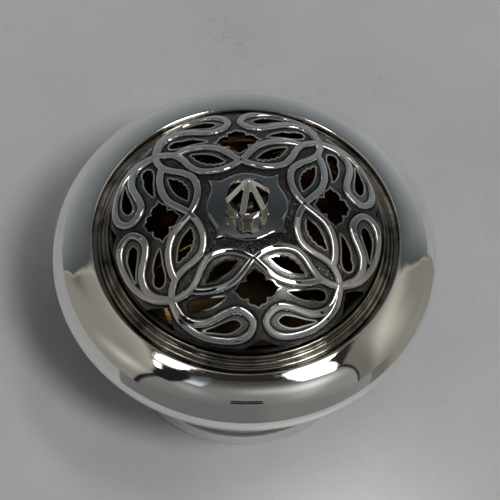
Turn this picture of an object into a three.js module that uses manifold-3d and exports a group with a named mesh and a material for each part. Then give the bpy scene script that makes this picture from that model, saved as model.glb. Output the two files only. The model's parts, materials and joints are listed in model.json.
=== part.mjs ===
// A silver potpourri pot: a squat bowl with a rolled rim on a low foot, and a loose pierced lid.
// Millimetres, +Z up. The origin is the middle of the foot's underside.
// The lid's pattern has four lobes, on +X, +Y, -X and -Y, and each lobe is its own mirror image.

import * as THREE from 'three';
import { mergeVertices } from 'three/addons/utils/BufferGeometryUtils.js';
import Module from 'manifold-3d';

const wasm = await Module();
wasm.setup();

// Bowl
const rimRadius = 50;            // widest point of the rolled rim
const rimHeight = 45.2;          // height of that widest point above the foot's underside
const mouthRadius = 39.5;        // edge of the opening
const mouthHeight = 54.8;
const rimUnderDepth = 7;         // how far the roll turns under its widest point
const rimUnderReach = 7;         // and how far it turns in
const neckRadius = 41.4;         // bowl wall where it meets the roll
const neckHeight = 1.6;          // from there up to the roll
const neckUpright = 9;           // how far below the roll the wall starts to lean in
const waistRadius = 31.6;        // bowl wall just above the foot
const waistRise = 2.4;           // from the bowl's flat bottom up to the waist
const waistUpright = 7.6;        // how far above the waist the wall starts to lean out
const floorRadius = 29.6;        // flat underside of the bowl
const bowlWall = 0.9;

// Foot
const footHeight = 5.1;
const footRadius = 31.7;         // where it stands
const footTopRadius = 31.9;
const footWall = 1.7;
const footRecess = 0.5;          // the waist of the foot's band, drawn in between its two edges
const footFlangeRadius = 27.6;   // inner edge of the flange that is soldered to the bowl's bottom
const footFlangeThickness = 1.1;

// Seat for the lid, inside the mouth
const seatDrop = 2.2;            // ledge below the mouth
const seatThickness = 1.1;
const seatCollarReach = 1.2;     // its upright collar's outside, out from the mouth's edge
const seatCollarWall = 1.1;
const seatLedgeWidth = 4.2;      // from the collar in to the bore
const solderGap = 0.3;           // between a soldered piece and the shell that it follows

// Lid
const domeRadius = 62;           // sphere of the dome's outside
const domeRise = 16.2;           // crown above the mouth
const domeWall = 1.2;
const domeRollReach = 1.6;       // the rolled edge, from the end of the sphere out to the upright wall
const domeRollDrop = 2.9;        // and down to it

const borderClearance = 1.1;     // all round, inside the seat's collar
const borderWidth = 3.2;
const borderRise = 4.5;          // reeded border above the ledge
const borderGap = 0.3;           // between the border and the dome's wall
const borderFlangeThickness = 0.8;  // the flange under the dome's wall, between dome and bezel
const reedCount = 3;
const reedRelief = 0.35;

const bezelDepth = 4.6;
const bezelClearance = 0.6;      // all round, inside the seat's bore
const bezelWall = 1.1;

// Pierced pattern, in the plane of one lobe: x runs out along the lobe, y across it
const quatrefoilMiddle = 22.2;
const quatrefoilInnerReach = 5.2;
const quatrefoilOuterReach = 4.4;
const quatrefoilSideReach = 6.3;
const quatrefoilCusp = 2.2;      // cusp between two arms, along x and y from the middle

const almondFoot = [15.0, 3.9];
const almondTip = [19.2, 12.4];
const almondBulge = 1.25;        // smooth side, out from the line between the two ends
const almondBelly = 2.3;         // scalloped side
const almondScallops = 6;
const scallopDepth = 0.35;

const commaFoot = [23.1, 7.6];
const commaHead = [23.9, 16.1];
const commaHeadRadius = 1.55;
const commaWaist = 1.25;         // half its width between head and foot

const dropHead = [30.0, 6.2];
const dropHeadRadius = 1.6;
const dropTip = [29.9, 14.6];
const dropBelly = 1.3;

const spandrelLip = 2.4;         // lower edge of the edge holes, below the end of the sphere
const lobeSpandrelPoint = 33.0;  // inner point of the edge hole on a lobe's own line
const lobeSpandrelHalfWidth = 4.6;
const cornerSpandrelPoint = 32.2;
const cornerSpandrelHalfWidth = 6.2;
const cornerSpandrelShoulder = 1.4;
const spandrelReach = 1.0;       // how far the edge holes run past the upright wall

// Raised strapwork on the dome
const strapWidth = 1.9;
const strapCrest = 0.8;          // width of a strap's rounded top
const strapRise = 0.5;           // crest of a strap above the dome
const strapRoot = 0.5;           // and how deep it is rooted in the dome's wall
const loopInner = [
  [14.5, 0.3], [12.5, 4.2], [12.0, 8.4], [13.1, 11.6], [16.2, 13.9], [19.9, 16.5], [21.4, 21.3],
];
const loopOuter = [[14.5, 0.3], [17.1, 2.4], [19.5, 4.9], [20.8, 8.2], [21.0, 11.6], [20.0, 16.6]];
const paisley = [
  [21.4, 21.3], [26.2, 19.9], [31.0, 15.0], [33.1, 8.8], [32.6, 4.0], [29.9, 1.6], [27.0, 3.8],
  [26.7, 7.6], [28.0, 12.6], [27.3, 17.3], [23.6, 20.1],
];
const loopInnerSegments = 7;
const loopOuterSegments = 5;
const paisleySegments = 14;

// Crown plate and finial
const crownFlatRadius = 4.6;     // the dome's crown and the plate are flat here, and joined
const plateSideReach = 10.1;     // middle of each ogee side
const plateCorner = 8.75;        // corner point, along x and y
const plateWave = 2.45;          // how far the ogee swings
const plateThickness = 0.7;
const calyxLeaves = 6;
const calyxReach = 8.2;
const calyxNotch = 4.4;
const calyxLeafHalfWidth = 1.5;
const calyxThickness = 0.8;
const budRibs = 6;
const budTurn = 9.7;             // degrees from +X to the first rib
const budRadius = 5.4;
const budCupHeight = 3.2;
const budHeight = 10.7;
const budNeckRadius = 3.4;
const budTipRadius = 0.7;
const ribWidth = 1.5;
const hollowShare = 0.62;        // depth of the hollows between ribs, as a share of the rib's radius

// Fixing under the crown
const studRadius = 1.5;
const studClearance = 0.3;
const studInBud = 4.5;
const studBelowNut = 1.0;
const washerRadius = 4;
const washerMargin = 0.5;        // flat seat under the crown, round the washer
const washerThickness = 0.8;
const nutAcrossFlats = 5.5;
const nutThickness = 2.2;

// How finely curves are cut
const turnSegments = 48;
const domeSegments = 40;
const studSegments = 16;
const arcSteps = 5;
const finestDetail = 0.04;       // smaller facets of the pierced dome are merged

// Heights and radii that follow from the above
const seatHeight = mouthHeight - seatDrop;
const seatOuterRadius = mouthRadius + seatCollarReach;
const seatCollarInner = seatOuterRadius - seatCollarWall;
const seatBoreRadius = seatCollarInner - seatLedgeWidth;
const borderRadius = seatCollarInner - borderClearance;
const domeWallRadius = borderRadius - borderWidth - borderGap;
const domeEdgeRadius = domeWallRadius - domeRollReach;
const bezelRadius = seatBoreRadius - bezelClearance;
const crownHeight = mouthHeight + domeRise;
const domeCentre = crownHeight - domeRadius;
const sphereHeight = (radius, lift = 0) => domeCentre + Math.sqrt((domeRadius + lift) ** 2 - radius ** 2);
const domeEdgeHeight = sphereHeight(domeEdgeRadius);
const domeFootHeight = seatHeight + borderFlangeThickness;
const crownFlat = sphereHeight(crownFlatRadius);
const plateTop = sphereHeight(crownFlatRadius, solderGap + plateThickness);
const calyxTop = plateTop + calyxThickness;
const studHoleRadius = studRadius + studClearance;
const washerSeatRadius = washerRadius + washerMargin;
const washerTop = sphereHeight(washerSeatRadius, -domeWall);
const nutTop = washerTop - washerThickness;

const silver = (name, color, roughness) => {
  const material = new THREE.MeshStandardMaterial({ color, roughness, metalness: 1 });
  material.name = name;
  return material;
};
const polishedSilver = silver('polished_silver', 0xb9bcc0, 0.1);
const oxidisedSilver = silver('oxidised_silver', 0x6e6b68, 0.25);
const warmSilver = silver('warm_silver', 0xbdb6a8, 0.2);
const steel = silver('steel', 0x8f9398, 0.35);

// Solids in and out of the boolean library

function solidOf(geometry) {
  const bare = new THREE.BufferGeometry();
  bare.setAttribute('position', geometry.getAttribute('position'));
  bare.setIndex(geometry.getIndex());
  const merged = mergeVertices(bare, 1e-5);
  const index = merged.getIndex().array;
  const triVerts = [];
  for (let i = 0; i < index.length; i += 3) {
    const [a, b, c] = [index[i], index[i + 1], index[i + 2]];
    if (a !== b && b !== c && c !== a) triVerts.push(a, b, c);
  }
  return new wasm.Manifold(new wasm.Mesh({
    numProp: 3,
    vertProperties: Float32Array.from(merged.getAttribute('position').array),
    triVerts: Uint32Array.from(triVerts),
  }));
}

function geometryOf(solid) {
  const mesh = solid.getMesh();
  const geometry = new THREE.BufferGeometry();
  geometry.setAttribute('position', new THREE.BufferAttribute(new Float32Array(mesh.vertProperties), 3));
  geometry.setIndex(new THREE.BufferAttribute(new Uint32Array(mesh.triVerts), 1));
  geometry.computeVertexNormals();
  return geometry;
}

// A solid of revolution about Z from [radius, height] points, counterclockwise in that plane
function turned(profile, segments = turnSegments) {
  const points = profile.map(([radius, height]) => new THREE.Vector2(radius, height));
  return solidOf(new THREE.LatheGeometry(points, segments).rotateX(Math.PI / 2));
}

const ring = (profile, segments) => turned([...profile, profile[0]], segments);

const tube = (inner, outer, bottom, top, segments) =>
  ring([[inner, bottom], [outer, bottom], [outer, top], [inner, top]], segments);

// An upright prism from [x, y] points that run counterclockwise
function prism(outline, bottom, top) {
  const shape = new THREE.Shape(outline.map(([x, y]) => new THREE.Vector2(x, y)));
  const geometry = new THREE.ExtrudeGeometry(shape, { depth: top - bottom, bevelEnabled: false });
  return solidOf(geometry.translate(0, 0, bottom));
}

// Plane curves

function quarterEllipse(centre, reach, start, steps) {
  return Array.from({ length: steps + 1 }, (_, i) => {
    const angle = THREE.MathUtils.degToRad(start + (90 * i) / steps);
    return [centre[0] + reach[0] * Math.cos(angle), centre[1] + reach[1] * Math.sin(angle)];
  });
}

function bezier(from, control1, control2, to, steps) {
  const corners = [from, control1, control2, to].map(([x, y]) => new THREE.Vector2(x, y));
  return new THREE.CubicBezierCurve(...corners).getPoints(steps).map((point) => [point.x, point.y]);
}

const mirrored = (outline) => outline.map(([x, y]) => [x, -y]).reverse();
const swapped = (outline) => outline.map(([x, y]) => [y, x]).reverse();

// A bow between two points: t runs from 0 to 1 along it, and out is its greatest distance to the right
function bow(from, to, out, t) {
  const [dx, dy] = [to[0] - from[0], to[1] - from[1]];
  const length = Math.hypot(dx, dy);
  const offset = out * 4 * t * (1 - t);
  return [from[0] + dx * t + (dy / length) * offset, from[1] + dy * t - (dx / length) * offset];
}

// Bowl, foot and seat

function bowlOutline() {
  const bottom = footHeight;
  const underCentre = [rimRadius - rimUnderReach, rimHeight];
  const cornerRadius = waistRadius - floorRadius;
  const rollFoot = [underCentre[0], rimHeight - rimUnderDepth];
  const corner = quarterEllipse([floorRadius, bottom + waistRise], [cornerRadius, waistRise], 270, 2);
  const wall = bezier(
    [waistRadius, bottom + waistRise],
    [waistRadius + 0.5, bottom + waistRise + waistUpright],
    [neckRadius - 1, rollFoot[1] - neckUpright],
    [neckRadius, rollFoot[1] - neckHeight],
    4,
  );
  const under = quarterEllipse(underCentre, [rimUnderReach, rimUnderDepth], 270, arcSteps);
  const shoulder = quarterEllipse(
    [mouthRadius, rimHeight], [rimRadius - mouthRadius, mouthHeight - rimHeight], 0, arcSteps,
  );
  return [...corner, ...wall.slice(1), ...under, ...shoulder.slice(1)];
}

// The same line, moved inwards by the wall
function offsetInwards(outline, distance) {
  return outline.map((point, i) => {
    const before = outline[Math.max(i - 1, 0)];
    const after = outline[Math.min(i + 1, outline.length - 1)];
    const [dx, dy] = [after[0] - before[0], after[1] - before[1]];
    const length = Math.hypot(dx, dy);
    return [point[0] - (dy / length) * distance, point[1] + (dx / length) * distance];
  });
}

function bodyShell() {
  const outside = bowlOutline();
  const inside = offsetInwards(outside, bowlWall);
  const lipUnderside = mouthHeight - bowlWall;
  inside[0] = [floorRadius, footHeight + bowlWall];
  inside.splice(-1, 1, [seatOuterRadius, lipUnderside], [mouthRadius, lipUnderside]);
  return turned([[0, footHeight], ...outside, ...inside.reverse(), [0, footHeight + bowlWall]]);
}

function footRing() {
  const band = bezier(
    [footRadius, 0],
    [footRadius - footRecess, footHeight / 3],
    [footTopRadius - footRecess, (2 * footHeight) / 3],
    [footTopRadius, footHeight],
    3,
  );
  const underFlange = footHeight - footFlangeThickness;
  const flange = [[footFlangeRadius, footHeight], [footFlangeRadius, underFlange]];
  return ring([[footRadius - footWall, 0], ...band, ...flange, [footTopRadius - footWall, underFlange]]);
}

function seatRing() {
  const bottom = seatHeight - seatThickness;
  const collarTop = mouthHeight - bowlWall;
  return ring([
    [seatBoreRadius, bottom], [seatOuterRadius, bottom], [seatOuterRadius, collarTop],
    [seatCollarInner, collarTop], [seatCollarInner, seatHeight], [seatBoreRadius, seatHeight],
  ]);
}

// Lid

// Points on the dome's sphere, or on one that follows it, from one radius out to another
function spherePoints(from, to, lift, steps) {
  return Array.from({ length: steps + 1 }, (_, i) => {
    const r = from + ((to - from) * i) / steps;
    return [r, sphereHeight(r, lift)];
  });
}

function domeShell() {
  const rollFrom = [domeEdgeRadius, domeEdgeHeight];
  const rollTo = [domeWallRadius, domeEdgeHeight - domeRollDrop];
  const slope = domeEdgeRadius / (domeEdgeHeight - domeCentre);
  const roll = bezier(
    rollFrom,
    [rollFrom[0] + 0.9, rollFrom[1] - 0.9 * slope],
    [rollTo[0], rollTo[1] + 1.3],
    rollTo,
    3,
  );
  const crown = [0, crownFlat];
  const outside = [crown, ...spherePoints(crownFlatRadius, domeEdgeRadius, 0, 5), ...roll.slice(1)];
  const insideRadius = domeWallRadius - domeWall;
  const underside = spherePoints(washerSeatRadius, insideRadius - 0.8, -domeWall, 4);
  const inside = [[0, washerTop], ...underside, [insideRadius, rollTo[1]]];
  const foot = [[insideRadius, domeFootHeight], [domeWallRadius, domeFootHeight]];
  return turned([...inside, ...foot, ...outside.reverse()], domeSegments);
}

// Pierced holes, each as a counterclockwise outline in the plane of a lobe

function quatrefoil() {
  const m = quatrefoilMiddle;
  const c = quatrefoilCusp;
  const outer = [m + quatrefoilOuterReach, 0];
  const side = [m, quatrefoilSideReach];
  const inner = [m - quatrefoilInnerReach, 0];
  const armSide = (cusp, tip, swell) => {
    const swollen = [cusp[0] + swell[0], cusp[1] + swell[1]];
    const nearTip = [(cusp[0] + 3 * tip[0]) / 4, (cusp[1] + 3 * tip[1]) / 4];
    return bezier(cusp, swollen, nearTip, tip, 2);
  };
  const upper = [
    ...armSide([m + c, c], outer, [0.9, -0.2]).reverse(),
    ...armSide([m + c, c], side, [-0.1, 0.9]).slice(1),
    ...armSide([m - c, c], side, [0.1, 0.9]).reverse().slice(1),
    ...armSide([m - c, c], inner, [-0.9, -0.2]).slice(1),
  ];
  return [...upper, ...mirrored(upper).slice(1, -1)];
}

function almond() {
  const smooth = [0, 0.25, 0.5, 0.75].map((t) => bow(almondFoot, almondTip, almondBulge, t));
  const scalloped = [];
  for (let i = 0; i < almondScallops; i += 1) {
    for (const [part, depth] of [[0, 0], [0.5, scallopDepth]]) {
      const t = (i + part) / almondScallops;
      scalloped.push(bow(almondTip, almondFoot, almondBelly + depth, t));
    }
  }
  return [...smooth, ...scalloped];
}

function comma() {
  const [hx, hy] = commaHead;
  const head = quarterEllipse(commaHead, [commaHeadRadius, commaHeadRadius], 0, 3)
    .concat(quarterEllipse(commaHead, [commaHeadRadius, commaHeadRadius], 90, 3).slice(1));
  const middle = [(hx + commaFoot[0]) / 2, (hy + commaFoot[1]) / 2];
  return [commaFoot, [middle[0] + commaWaist, middle[1]], ...head, [middle[0] - commaWaist, middle[1]]];
}

function drop() {
  const [hx, hy] = dropHead;
  const head = quarterEllipse(dropHead, [dropHeadRadius, dropHeadRadius], 180, 3)
    .concat(quarterEllipse(dropHead, [dropHeadRadius, dropHeadRadius], 270, 3).slice(1));
  const middle = (hy + dropTip[1]) / 2;
  return [...head, [hx + dropBelly, middle], dropTip, [hx - dropBelly, middle]];
}

function lobeSpandrel() {
  const far = domeWallRadius + spandrelReach;
  const w = lobeSpandrelHalfWidth;
  const shoulder = domeEdgeRadius + 0.6;
  return [[lobeSpandrelPoint, 0], [shoulder, -0.5 * w], [far, -w], [far, w], [shoulder, 0.5 * w]];
}

// On the diagonal between two lobes, drawn along x and turned by 45 degrees
function cornerSpandrel() {
  const far = domeWallRadius + spandrelReach;
  const w = cornerSpandrelHalfWidth;
  const s = cornerSpandrelShoulder;
  return [[cornerSpandrelPoint, 0], [domeEdgeRadius, -s], [far, -w], [far, w], [domeEdgeRadius, s]];
}

const onAllLobes = (solid) => [0, 90, 180, 270].map((angle) => solid.rotate([0, 0, angle]));

function piercings() {
  const [low, high] = [seatHeight, crownHeight + 1];
  const lip = domeEdgeHeight - spandrelLip;
  const halves = [almond(), comma(), drop()].flatMap((outline) => [outline, mirrored(outline)]);
  const holes = [quatrefoil(), ...halves].map((outline) => prism(outline, low, high));
  holes.push(prism(lobeSpandrel(), lip, high));
  holes.push(prism(cornerSpandrel(), lip, high).rotate([0, 0, 45]));
  return holes.flatMap(onAllLobes);
}

// Straps: ribs that follow the dome. The section's x axis points down into the dome.

function strap(points, segments) {
  const onDome = points.map(([x, y]) => {
    const radius = Math.hypot(x, y);
    const within = Math.min(1, domeEdgeRadius / radius);
    return new THREE.Vector3(x * within, y * within, sphereHeight(radius * within));
  });
  const path = new THREE.CatmullRomCurve3(onDome, false, 'centripetal');
  const [foot, crest] = [strapWidth / 2, strapCrest / 2];
  const section = new THREE.Shape([
    new THREE.Vector2(strapRoot, -foot),
    new THREE.Vector2(strapRoot, foot),
    new THREE.Vector2(-strapRise, crest),
    new THREE.Vector2(-strapRise, -crest),
  ]);
  return solidOf(new THREE.ExtrudeGeometry(section, { steps: segments, extrudePath: path, bevelEnabled: false }));
}

function strapwork() {
  const flip = (points) => points.map(([x, y]) => [x, -y]);
  const lines = [[loopInner, loopInnerSegments], [loopOuter, loopOuterSegments], [paisley, paisleySegments]];
  return lines
    .flatMap(([points, segments]) => [strap(points, segments), strap(flip(points), segments)])
    .flatMap(onAllLobes);
}

function lidDome() {
  let dome = domeShell();
  for (const hole of piercings()) dome = dome.subtract(hole);
  for (const rib of strapwork()) dome = dome.add(rib);
  dome = dome.subtract(prism(roundOutline(studHoleRadius, studSegments), seatHeight, crownHeight + 1));
  return dome.simplify(finestDetail);
}

function lidBorder() {
  const inner = domeWallRadius + borderGap;
  const top = seatHeight + borderRise;
  const [width, height] = [borderRadius - inner - 0.4, borderRise - 0.6];
  const levels = [-1, 0.5, 1, 0.5].map((share) => share * reedRelief);
  const reeds = [];
  for (let i = 0; i < reedCount; i += 1) {
    levels.forEach((relief, quarter) => {
      const t = (i + quarter / levels.length) / reedCount;
      reeds.push([borderRadius - 0.2 - width * t + relief, seatHeight + 0.5 + height * t + relief]);
    });
  }
  const flangeInner = Math.min(domeWallRadius - domeWall, bezelRadius - bezelWall);
  const foot = [[flangeInner, seatHeight], [borderRadius - 0.2, seatHeight]];
  const back = [[inner, top], [inner, domeFootHeight], [flangeInner, domeFootHeight]];
  return ring([...foot, ...reeds, ...back], domeSegments);
}

function lidBezel() {
  return tube(bezelRadius - bezelWall, bezelRadius, seatHeight - bezelDepth, seatHeight);
}

// Crown and finial

function roundOutline(radius, segments) {
  return Array.from({ length: segments }, (_, i) => {
    const angle = (2 * Math.PI * i) / segments;
    return [radius * Math.cos(angle), radius * Math.sin(angle)];
  });
}

function plateOutline() {
  const side = bezier(
    [plateSideReach, 0],
    [plateSideReach, plateWave * 1.4],
    [plateCorner - plateWave * 0.55, plateCorner - plateWave * 1.45],
    [plateCorner, plateCorner],
    5,
  );
  const corner = [...side, ...swapped(side).slice(1)];
  return [0, 1, 2, 3].flatMap((turn) => corner.slice(0, -1).map(([x, y]) => {
    const angle = (turn * Math.PI) / 2;
    return [x * Math.cos(angle) - y * Math.sin(angle), x * Math.sin(angle) + y * Math.cos(angle)];
  }));
}

function crownPlate() {
  const reach = plateCorner * Math.SQRT2 + 1;
  const seat = [[0, crownFlat], [crownFlatRadius - solderGap, crownFlat]];
  const under = [...seat, ...spherePoints(crownFlatRadius, reach, solderGap, 3)];
  const over = [[0, plateTop], ...spherePoints(crownFlatRadius, reach, solderGap + plateThickness, 3)];
  const sheet = turned([...under, ...over.reverse()], domeSegments);
  const hole = prism(roundOutline(studHoleRadius, studSegments), seatHeight, plateTop + 1);
  return sheet.intersect(prism(plateOutline(), seatHeight, plateTop + 1)).subtract(hole);
}

function finialCalyx() {
  const outline = [];
  for (let i = 0; i < calyxLeaves; i += 1) {
    const leaf = THREE.MathUtils.degToRad(budTurn + (360 * i) / calyxLeaves);
    const between = leaf + Math.PI / calyxLeaves;
    const [c, s] = [Math.cos(leaf), Math.sin(leaf)];
    const w = calyxLeafHalfWidth;
    const [base, corner, dip] = [calyxNotch + 1, calyxReach - 0.4, calyxReach - 0.9];
    for (const [along, across] of [[base, -w], [corner, -w], [dip, 0], [corner, w], [base, w]]) {
      outline.push([along * c - across * s, along * s + across * c]);
    }
    outline.push([calyxNotch * Math.cos(between), calyxNotch * Math.sin(between)]);
  }
  const hole = prism(roundOutline(studHoleRadius, studSegments), plateTop - 1, calyxTop + 1);
  return prism(outline, plateTop, calyxTop).subtract(hole);
}

// One level of the bud: six flat-topped ribs with hollows between them
function budLevel(ribRadius, hollowRadius, height) {
  const points = [];
  for (let i = 0; i < budRibs; i += 1) {
    const middle = THREE.MathUtils.degToRad(budTurn + (360 * i) / budRibs);
    const half = Math.min(ribWidth / 2 / ribRadius, Math.PI / budRibs / 2.2);
    const step = Math.PI / budRibs - half;
    const rib = [[-half, ribRadius], [half, ribRadius]];
    const hollow = [[half + step * 0.45, hollowRadius], [half + step * 1.55, hollowRadius]];
    for (const [angle, radius] of [...rib, ...hollow]) {
      points.push(radius * Math.cos(middle + angle), radius * Math.sin(middle + angle), height);
    }
  }
  return points;
}

function finialBud() {
  const cup = [[budNeckRadius, 0], [budRadius * 0.86, 0.3], [budRadius * 0.98, 0.75], [budRadius, 1]];
  const shape = cup.map(([radius, t]) => [radius, radius, calyxTop + budCupHeight * t]);
  const ribSteps = 6;
  for (let i = 0; i <= ribSteps; i += 1) {
    const t = i / ribSteps;
    const radius = budTipRadius + (budRadius - budTipRadius) * (1 - t) ** 0.85;
    const height = calyxTop + budCupHeight + 0.35 + (budHeight - budCupHeight - 0.35 - budTipRadius / 2) * t;
    shape.push([radius, radius * (hollowShare + (1 - hollowShare) * t ** 3), height]);
  }
  const around = budRibs * 4;
  const position = shape.flatMap(([rib, hollow, height]) => budLevel(rib, hollow, height));
  position.push(0, 0, calyxTop, 0, 0, calyxTop + budHeight);
  const [bottomMiddle, tip] = [shape.length * around, shape.length * around + 1];
  const index = [];
  for (let i = 0; i < around; i += 1) {
    const next = (i + 1) % around;
    index.push(bottomMiddle, next, i);
    for (let level = 0; level + 1 < shape.length; level += 1) {
      const [low, high] = [level * around, (level + 1) * around];
      index.push(low + i, low + next, high + next, low + i, high + next, high + i);
    }
    const top = (shape.length - 1) * around;
    index.push(top + i, top + next, tip);
  }
  const geometry = new THREE.BufferGeometry();
  geometry.setAttribute('position', new THREE.Float32BufferAttribute(position, 3));
  geometry.setIndex(index);
  const bore = prism(roundOutline(studHoleRadius, studSegments), calyxTop - 1, calyxTop + studInBud);
  return solidOf(geometry).subtract(bore);
}

// Fixing under the crown

const finialStud = () =>
  prism(roundOutline(studRadius, studSegments), nutTop - nutThickness - studBelowNut, calyxTop + studInBud);

const studWasher = () => tube(studHoleRadius, washerRadius, nutTop, washerTop, studSegments);

function studNut() {
  const cornerRadius = nutAcrossFlats / 2 / Math.cos(Math.PI / 6);
  const bottom = nutTop - nutThickness;
  const hole = prism(roundOutline(studHoleRadius, studSegments), bottom - 1, nutTop + 1);
  return prism(roundOutline(cornerRadius, 6), bottom, nutTop).subtract(hole);
}

const named = (name, solid, material) => {
  const mesh = new THREE.Mesh(geometryOf(solid), material);
  mesh.name = name;
  return mesh;
};

const bowl = new THREE.Group();
bowl.add(named('body_shell', bodyShell(), polishedSilver));
bowl.add(named('foot_ring', footRing(), polishedSilver));
bowl.add(named('seat_ring', seatRing(), oxidisedSilver));

const lid = new THREE.Group();
lid.add(named('lid_dome', lidDome(), polishedSilver));
lid.add(named('lid_border', lidBorder(), oxidisedSilver));
lid.add(named('lid_bezel', lidBezel(), polishedSilver));
lid.add(named('crown_plate', crownPlate(), polishedSilver));
lid.add(named('finial_calyx', finialCalyx(), warmSilver));
lid.add(named('finial_bud', finialBud(), warmSilver));
lid.add(named('finial_stud', finialStud(), steel));
lid.add(named('stud_washer', studWasher(), steel));
lid.add(named('stud_nut', studNut(), steel));

const pot = new THREE.Group();
pot.add(bowl, lid);
export default pot;
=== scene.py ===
"""A silver potpourri pot: squat bowl with a rolled rim, and a loose lid pierced with strapwork."""

import json
import math

import bpy
import numpy as np
from mathutils import Matrix, Vector
from mathutils.geometry import delaunay_2d_cdt

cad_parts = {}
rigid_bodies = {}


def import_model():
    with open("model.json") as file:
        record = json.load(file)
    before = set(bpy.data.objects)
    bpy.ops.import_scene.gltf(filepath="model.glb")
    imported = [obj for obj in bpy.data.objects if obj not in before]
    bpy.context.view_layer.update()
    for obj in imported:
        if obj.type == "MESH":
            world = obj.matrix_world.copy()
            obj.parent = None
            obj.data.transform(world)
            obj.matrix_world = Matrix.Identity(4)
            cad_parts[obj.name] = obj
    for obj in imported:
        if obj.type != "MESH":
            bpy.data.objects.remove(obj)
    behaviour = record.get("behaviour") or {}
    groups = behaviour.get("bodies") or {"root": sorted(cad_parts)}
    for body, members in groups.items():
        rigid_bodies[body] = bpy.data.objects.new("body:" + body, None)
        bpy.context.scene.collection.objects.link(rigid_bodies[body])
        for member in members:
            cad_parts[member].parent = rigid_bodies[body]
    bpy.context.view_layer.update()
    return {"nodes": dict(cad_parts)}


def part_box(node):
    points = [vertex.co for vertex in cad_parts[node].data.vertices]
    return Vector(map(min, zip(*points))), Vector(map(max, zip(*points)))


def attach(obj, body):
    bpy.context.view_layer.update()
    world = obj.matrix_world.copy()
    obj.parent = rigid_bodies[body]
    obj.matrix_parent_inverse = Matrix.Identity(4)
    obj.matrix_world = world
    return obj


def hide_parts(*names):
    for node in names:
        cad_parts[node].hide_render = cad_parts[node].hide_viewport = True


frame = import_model()

bl_info = {
    "name": "Silver potpourri pot",
    "version": (1, 0, 0),
    "blender": (4, 5, 0),
    "location": "View3D > Sidebar > Potpourri pot",
    "description": "Builds the looks of a silver potpourri pot around its CAD model",
    "category": "Add Mesh",
}

MM = 0.001


def node_box(name):
    """Lowest and highest corner of a CAD node, in millimetres."""
    return tuple(np.array(corner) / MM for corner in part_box(name))


BOWL_HIGH = node_box("body_shell")[1]
FOOT_HIGH = node_box("foot_ring")[1]
SEAT_HIGH = node_box("seat_ring")[1]
BEZEL_LOW = node_box("lid_bezel")[0]
BUD_LOW, BUD_HIGH = node_box("finial_bud")

# Bowl, in millimetres: heights above the foot's underside, radii from the middle
RIM_RADIUS = float(BOWL_HIGH[0])
RIM_HEIGHT = 45.2
MOUTH_RADIUS = 39.5
MOUTH_HEIGHT = float(BOWL_HIGH[2])
RIM_UNDER = 7.0
NECK_RADIUS = 41.4
NECK_RISE = 1.6
NECK_UPRIGHT = 9.0
WAIST_RADIUS = 31.6
WAIST_RISE = 2.4
WAIST_UPRIGHT = 7.6
FLOOR_RADIUS = 29.6
FOOT_SHADE_HEIGHTS = (17.0, 11.0)        # heights between which painted shade darkens the wall towards the foot
ROLL_SHADE_HEIGHTS = (45.2, 43.0)        # and painted shade darkens the roll towards its underside
FOOT_HEIGHT = float(FOOT_HIGH[2])
FOOT_RADIUS = 31.7
FOOT_TOP_RADIUS = 31.9
FOOT_WALL = 1.7
FOOT_FLANGE_RADIUS = 27.6
FOOT_FLANGE = 1.1
FOOT_WAIST = 0.6                # how far the band is drawn in between its two edges
FOOT_EDGE = 0.35                # radius of its rounded edges

# Seat
SEAT_HEIGHT = 52.6
SEAT_THICKNESS = 1.1
SEAT_OUTER = float(SEAT_HIGH[0])
SEAT_COLLAR_WALL = 1.1
SEAT_BORE = 35.4

# Lid
DOME_RADIUS = 62.0
DOME_CENTRE = 9.0
CROWN_FLAT = 4.6
STUD_HOLE = 1.8
DOME_EDGE = 33.4
ROLL_LENGTH = 3.6
DOME_WALL_RADIUS = 35.0
ROLL_DROP = 2.9
DOME_FOOT = 53.4
BEZEL_RADIUS = 34.8
BEZEL_WALL = 1.1
BORDER_RADIUS = 38.0
REEDS = (                       # arcs of the border: middle, radius, start, end, steps
    ((37.75, 53.25), 0.55, -50, 120, 10),
    ((36.55, 53.9), 0.75, 0, 130, 12),
    ((35.6, 56.0), 0.45, -50, 150, 12),
)
REED_HOLLOW = ((36.0, 54.45), (35.75, 54.6), (35.7, 55.0), (35.85, 55.6))

LOBES = 4
WEDGE = math.pi / LOBES
TURN_SEGMENTS = 192

# One half of a lobe's strapwork: x runs out along the lobe, y across it
INNER_LOOP = (
    (14.5, 0.3), (13.1, 2.5), (12.1, 5.5), (12.0, 8.4), (12.9, 11.2), (15.1, 13.2),
    (17.8, 14.7), (19.9, 16.5), (21.0, 18.8), (21.4, 21.3),
)
OUTER_LOOP = (
    (14.7, 0.3), (17.2, 2.6), (19.5, 5.0), (20.8, 8.2), (21.1, 11.6), (20.7, 14.5), (19.9, 16.6),
)
PAISLEY = (
    (21.4, 21.3), (23.0, 20.9), (26.0, 19.8), (29.0, 17.5), (31.6, 13.9), (33.0, 9.5),
    (33.2, 5.7), (32.1, 2.9), (29.9, 1.6), (27.8, 2.9), (26.5, 5.4), (26.8, 8.2), (27.7, 11.0),
    (28.2, 13.6), (27.6, 16.6), (26.0, 19.0), (23.6, 20.4), (21.4, 21.3),
)
ALMOND_SMOOTH = ((15.0, 3.9), (17.3, 6.2), (18.6, 9.0), (19.2, 12.4))
ALMOND_CUSPS = (
    (19.2, 12.4), (17.6, 11.7), (16.2, 10.7), (15.2, 9.4), (14.6, 7.9), (14.4, 6.3), (14.5, 5.0),
    (15.0, 3.9),
)
COMMA = (
    (23.1, 7.6), (22.8, 9.5), (22.7, 12.0), (22.3, 15.0), (22.7, 17.0), (23.9, 17.7),
    (25.1, 17.0), (25.5, 15.4), (25.2, 14.1), (25.3, 12.2), (24.5, 9.6),
)
DROP = (
    (29.7, 4.6), (28.5, 6.2), (28.8, 9.0), (29.4, 11.6), (29.9, 14.6), (31.0, 11.0),
    (31.5, 8.2), (30.9, 5.7),
)
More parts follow.
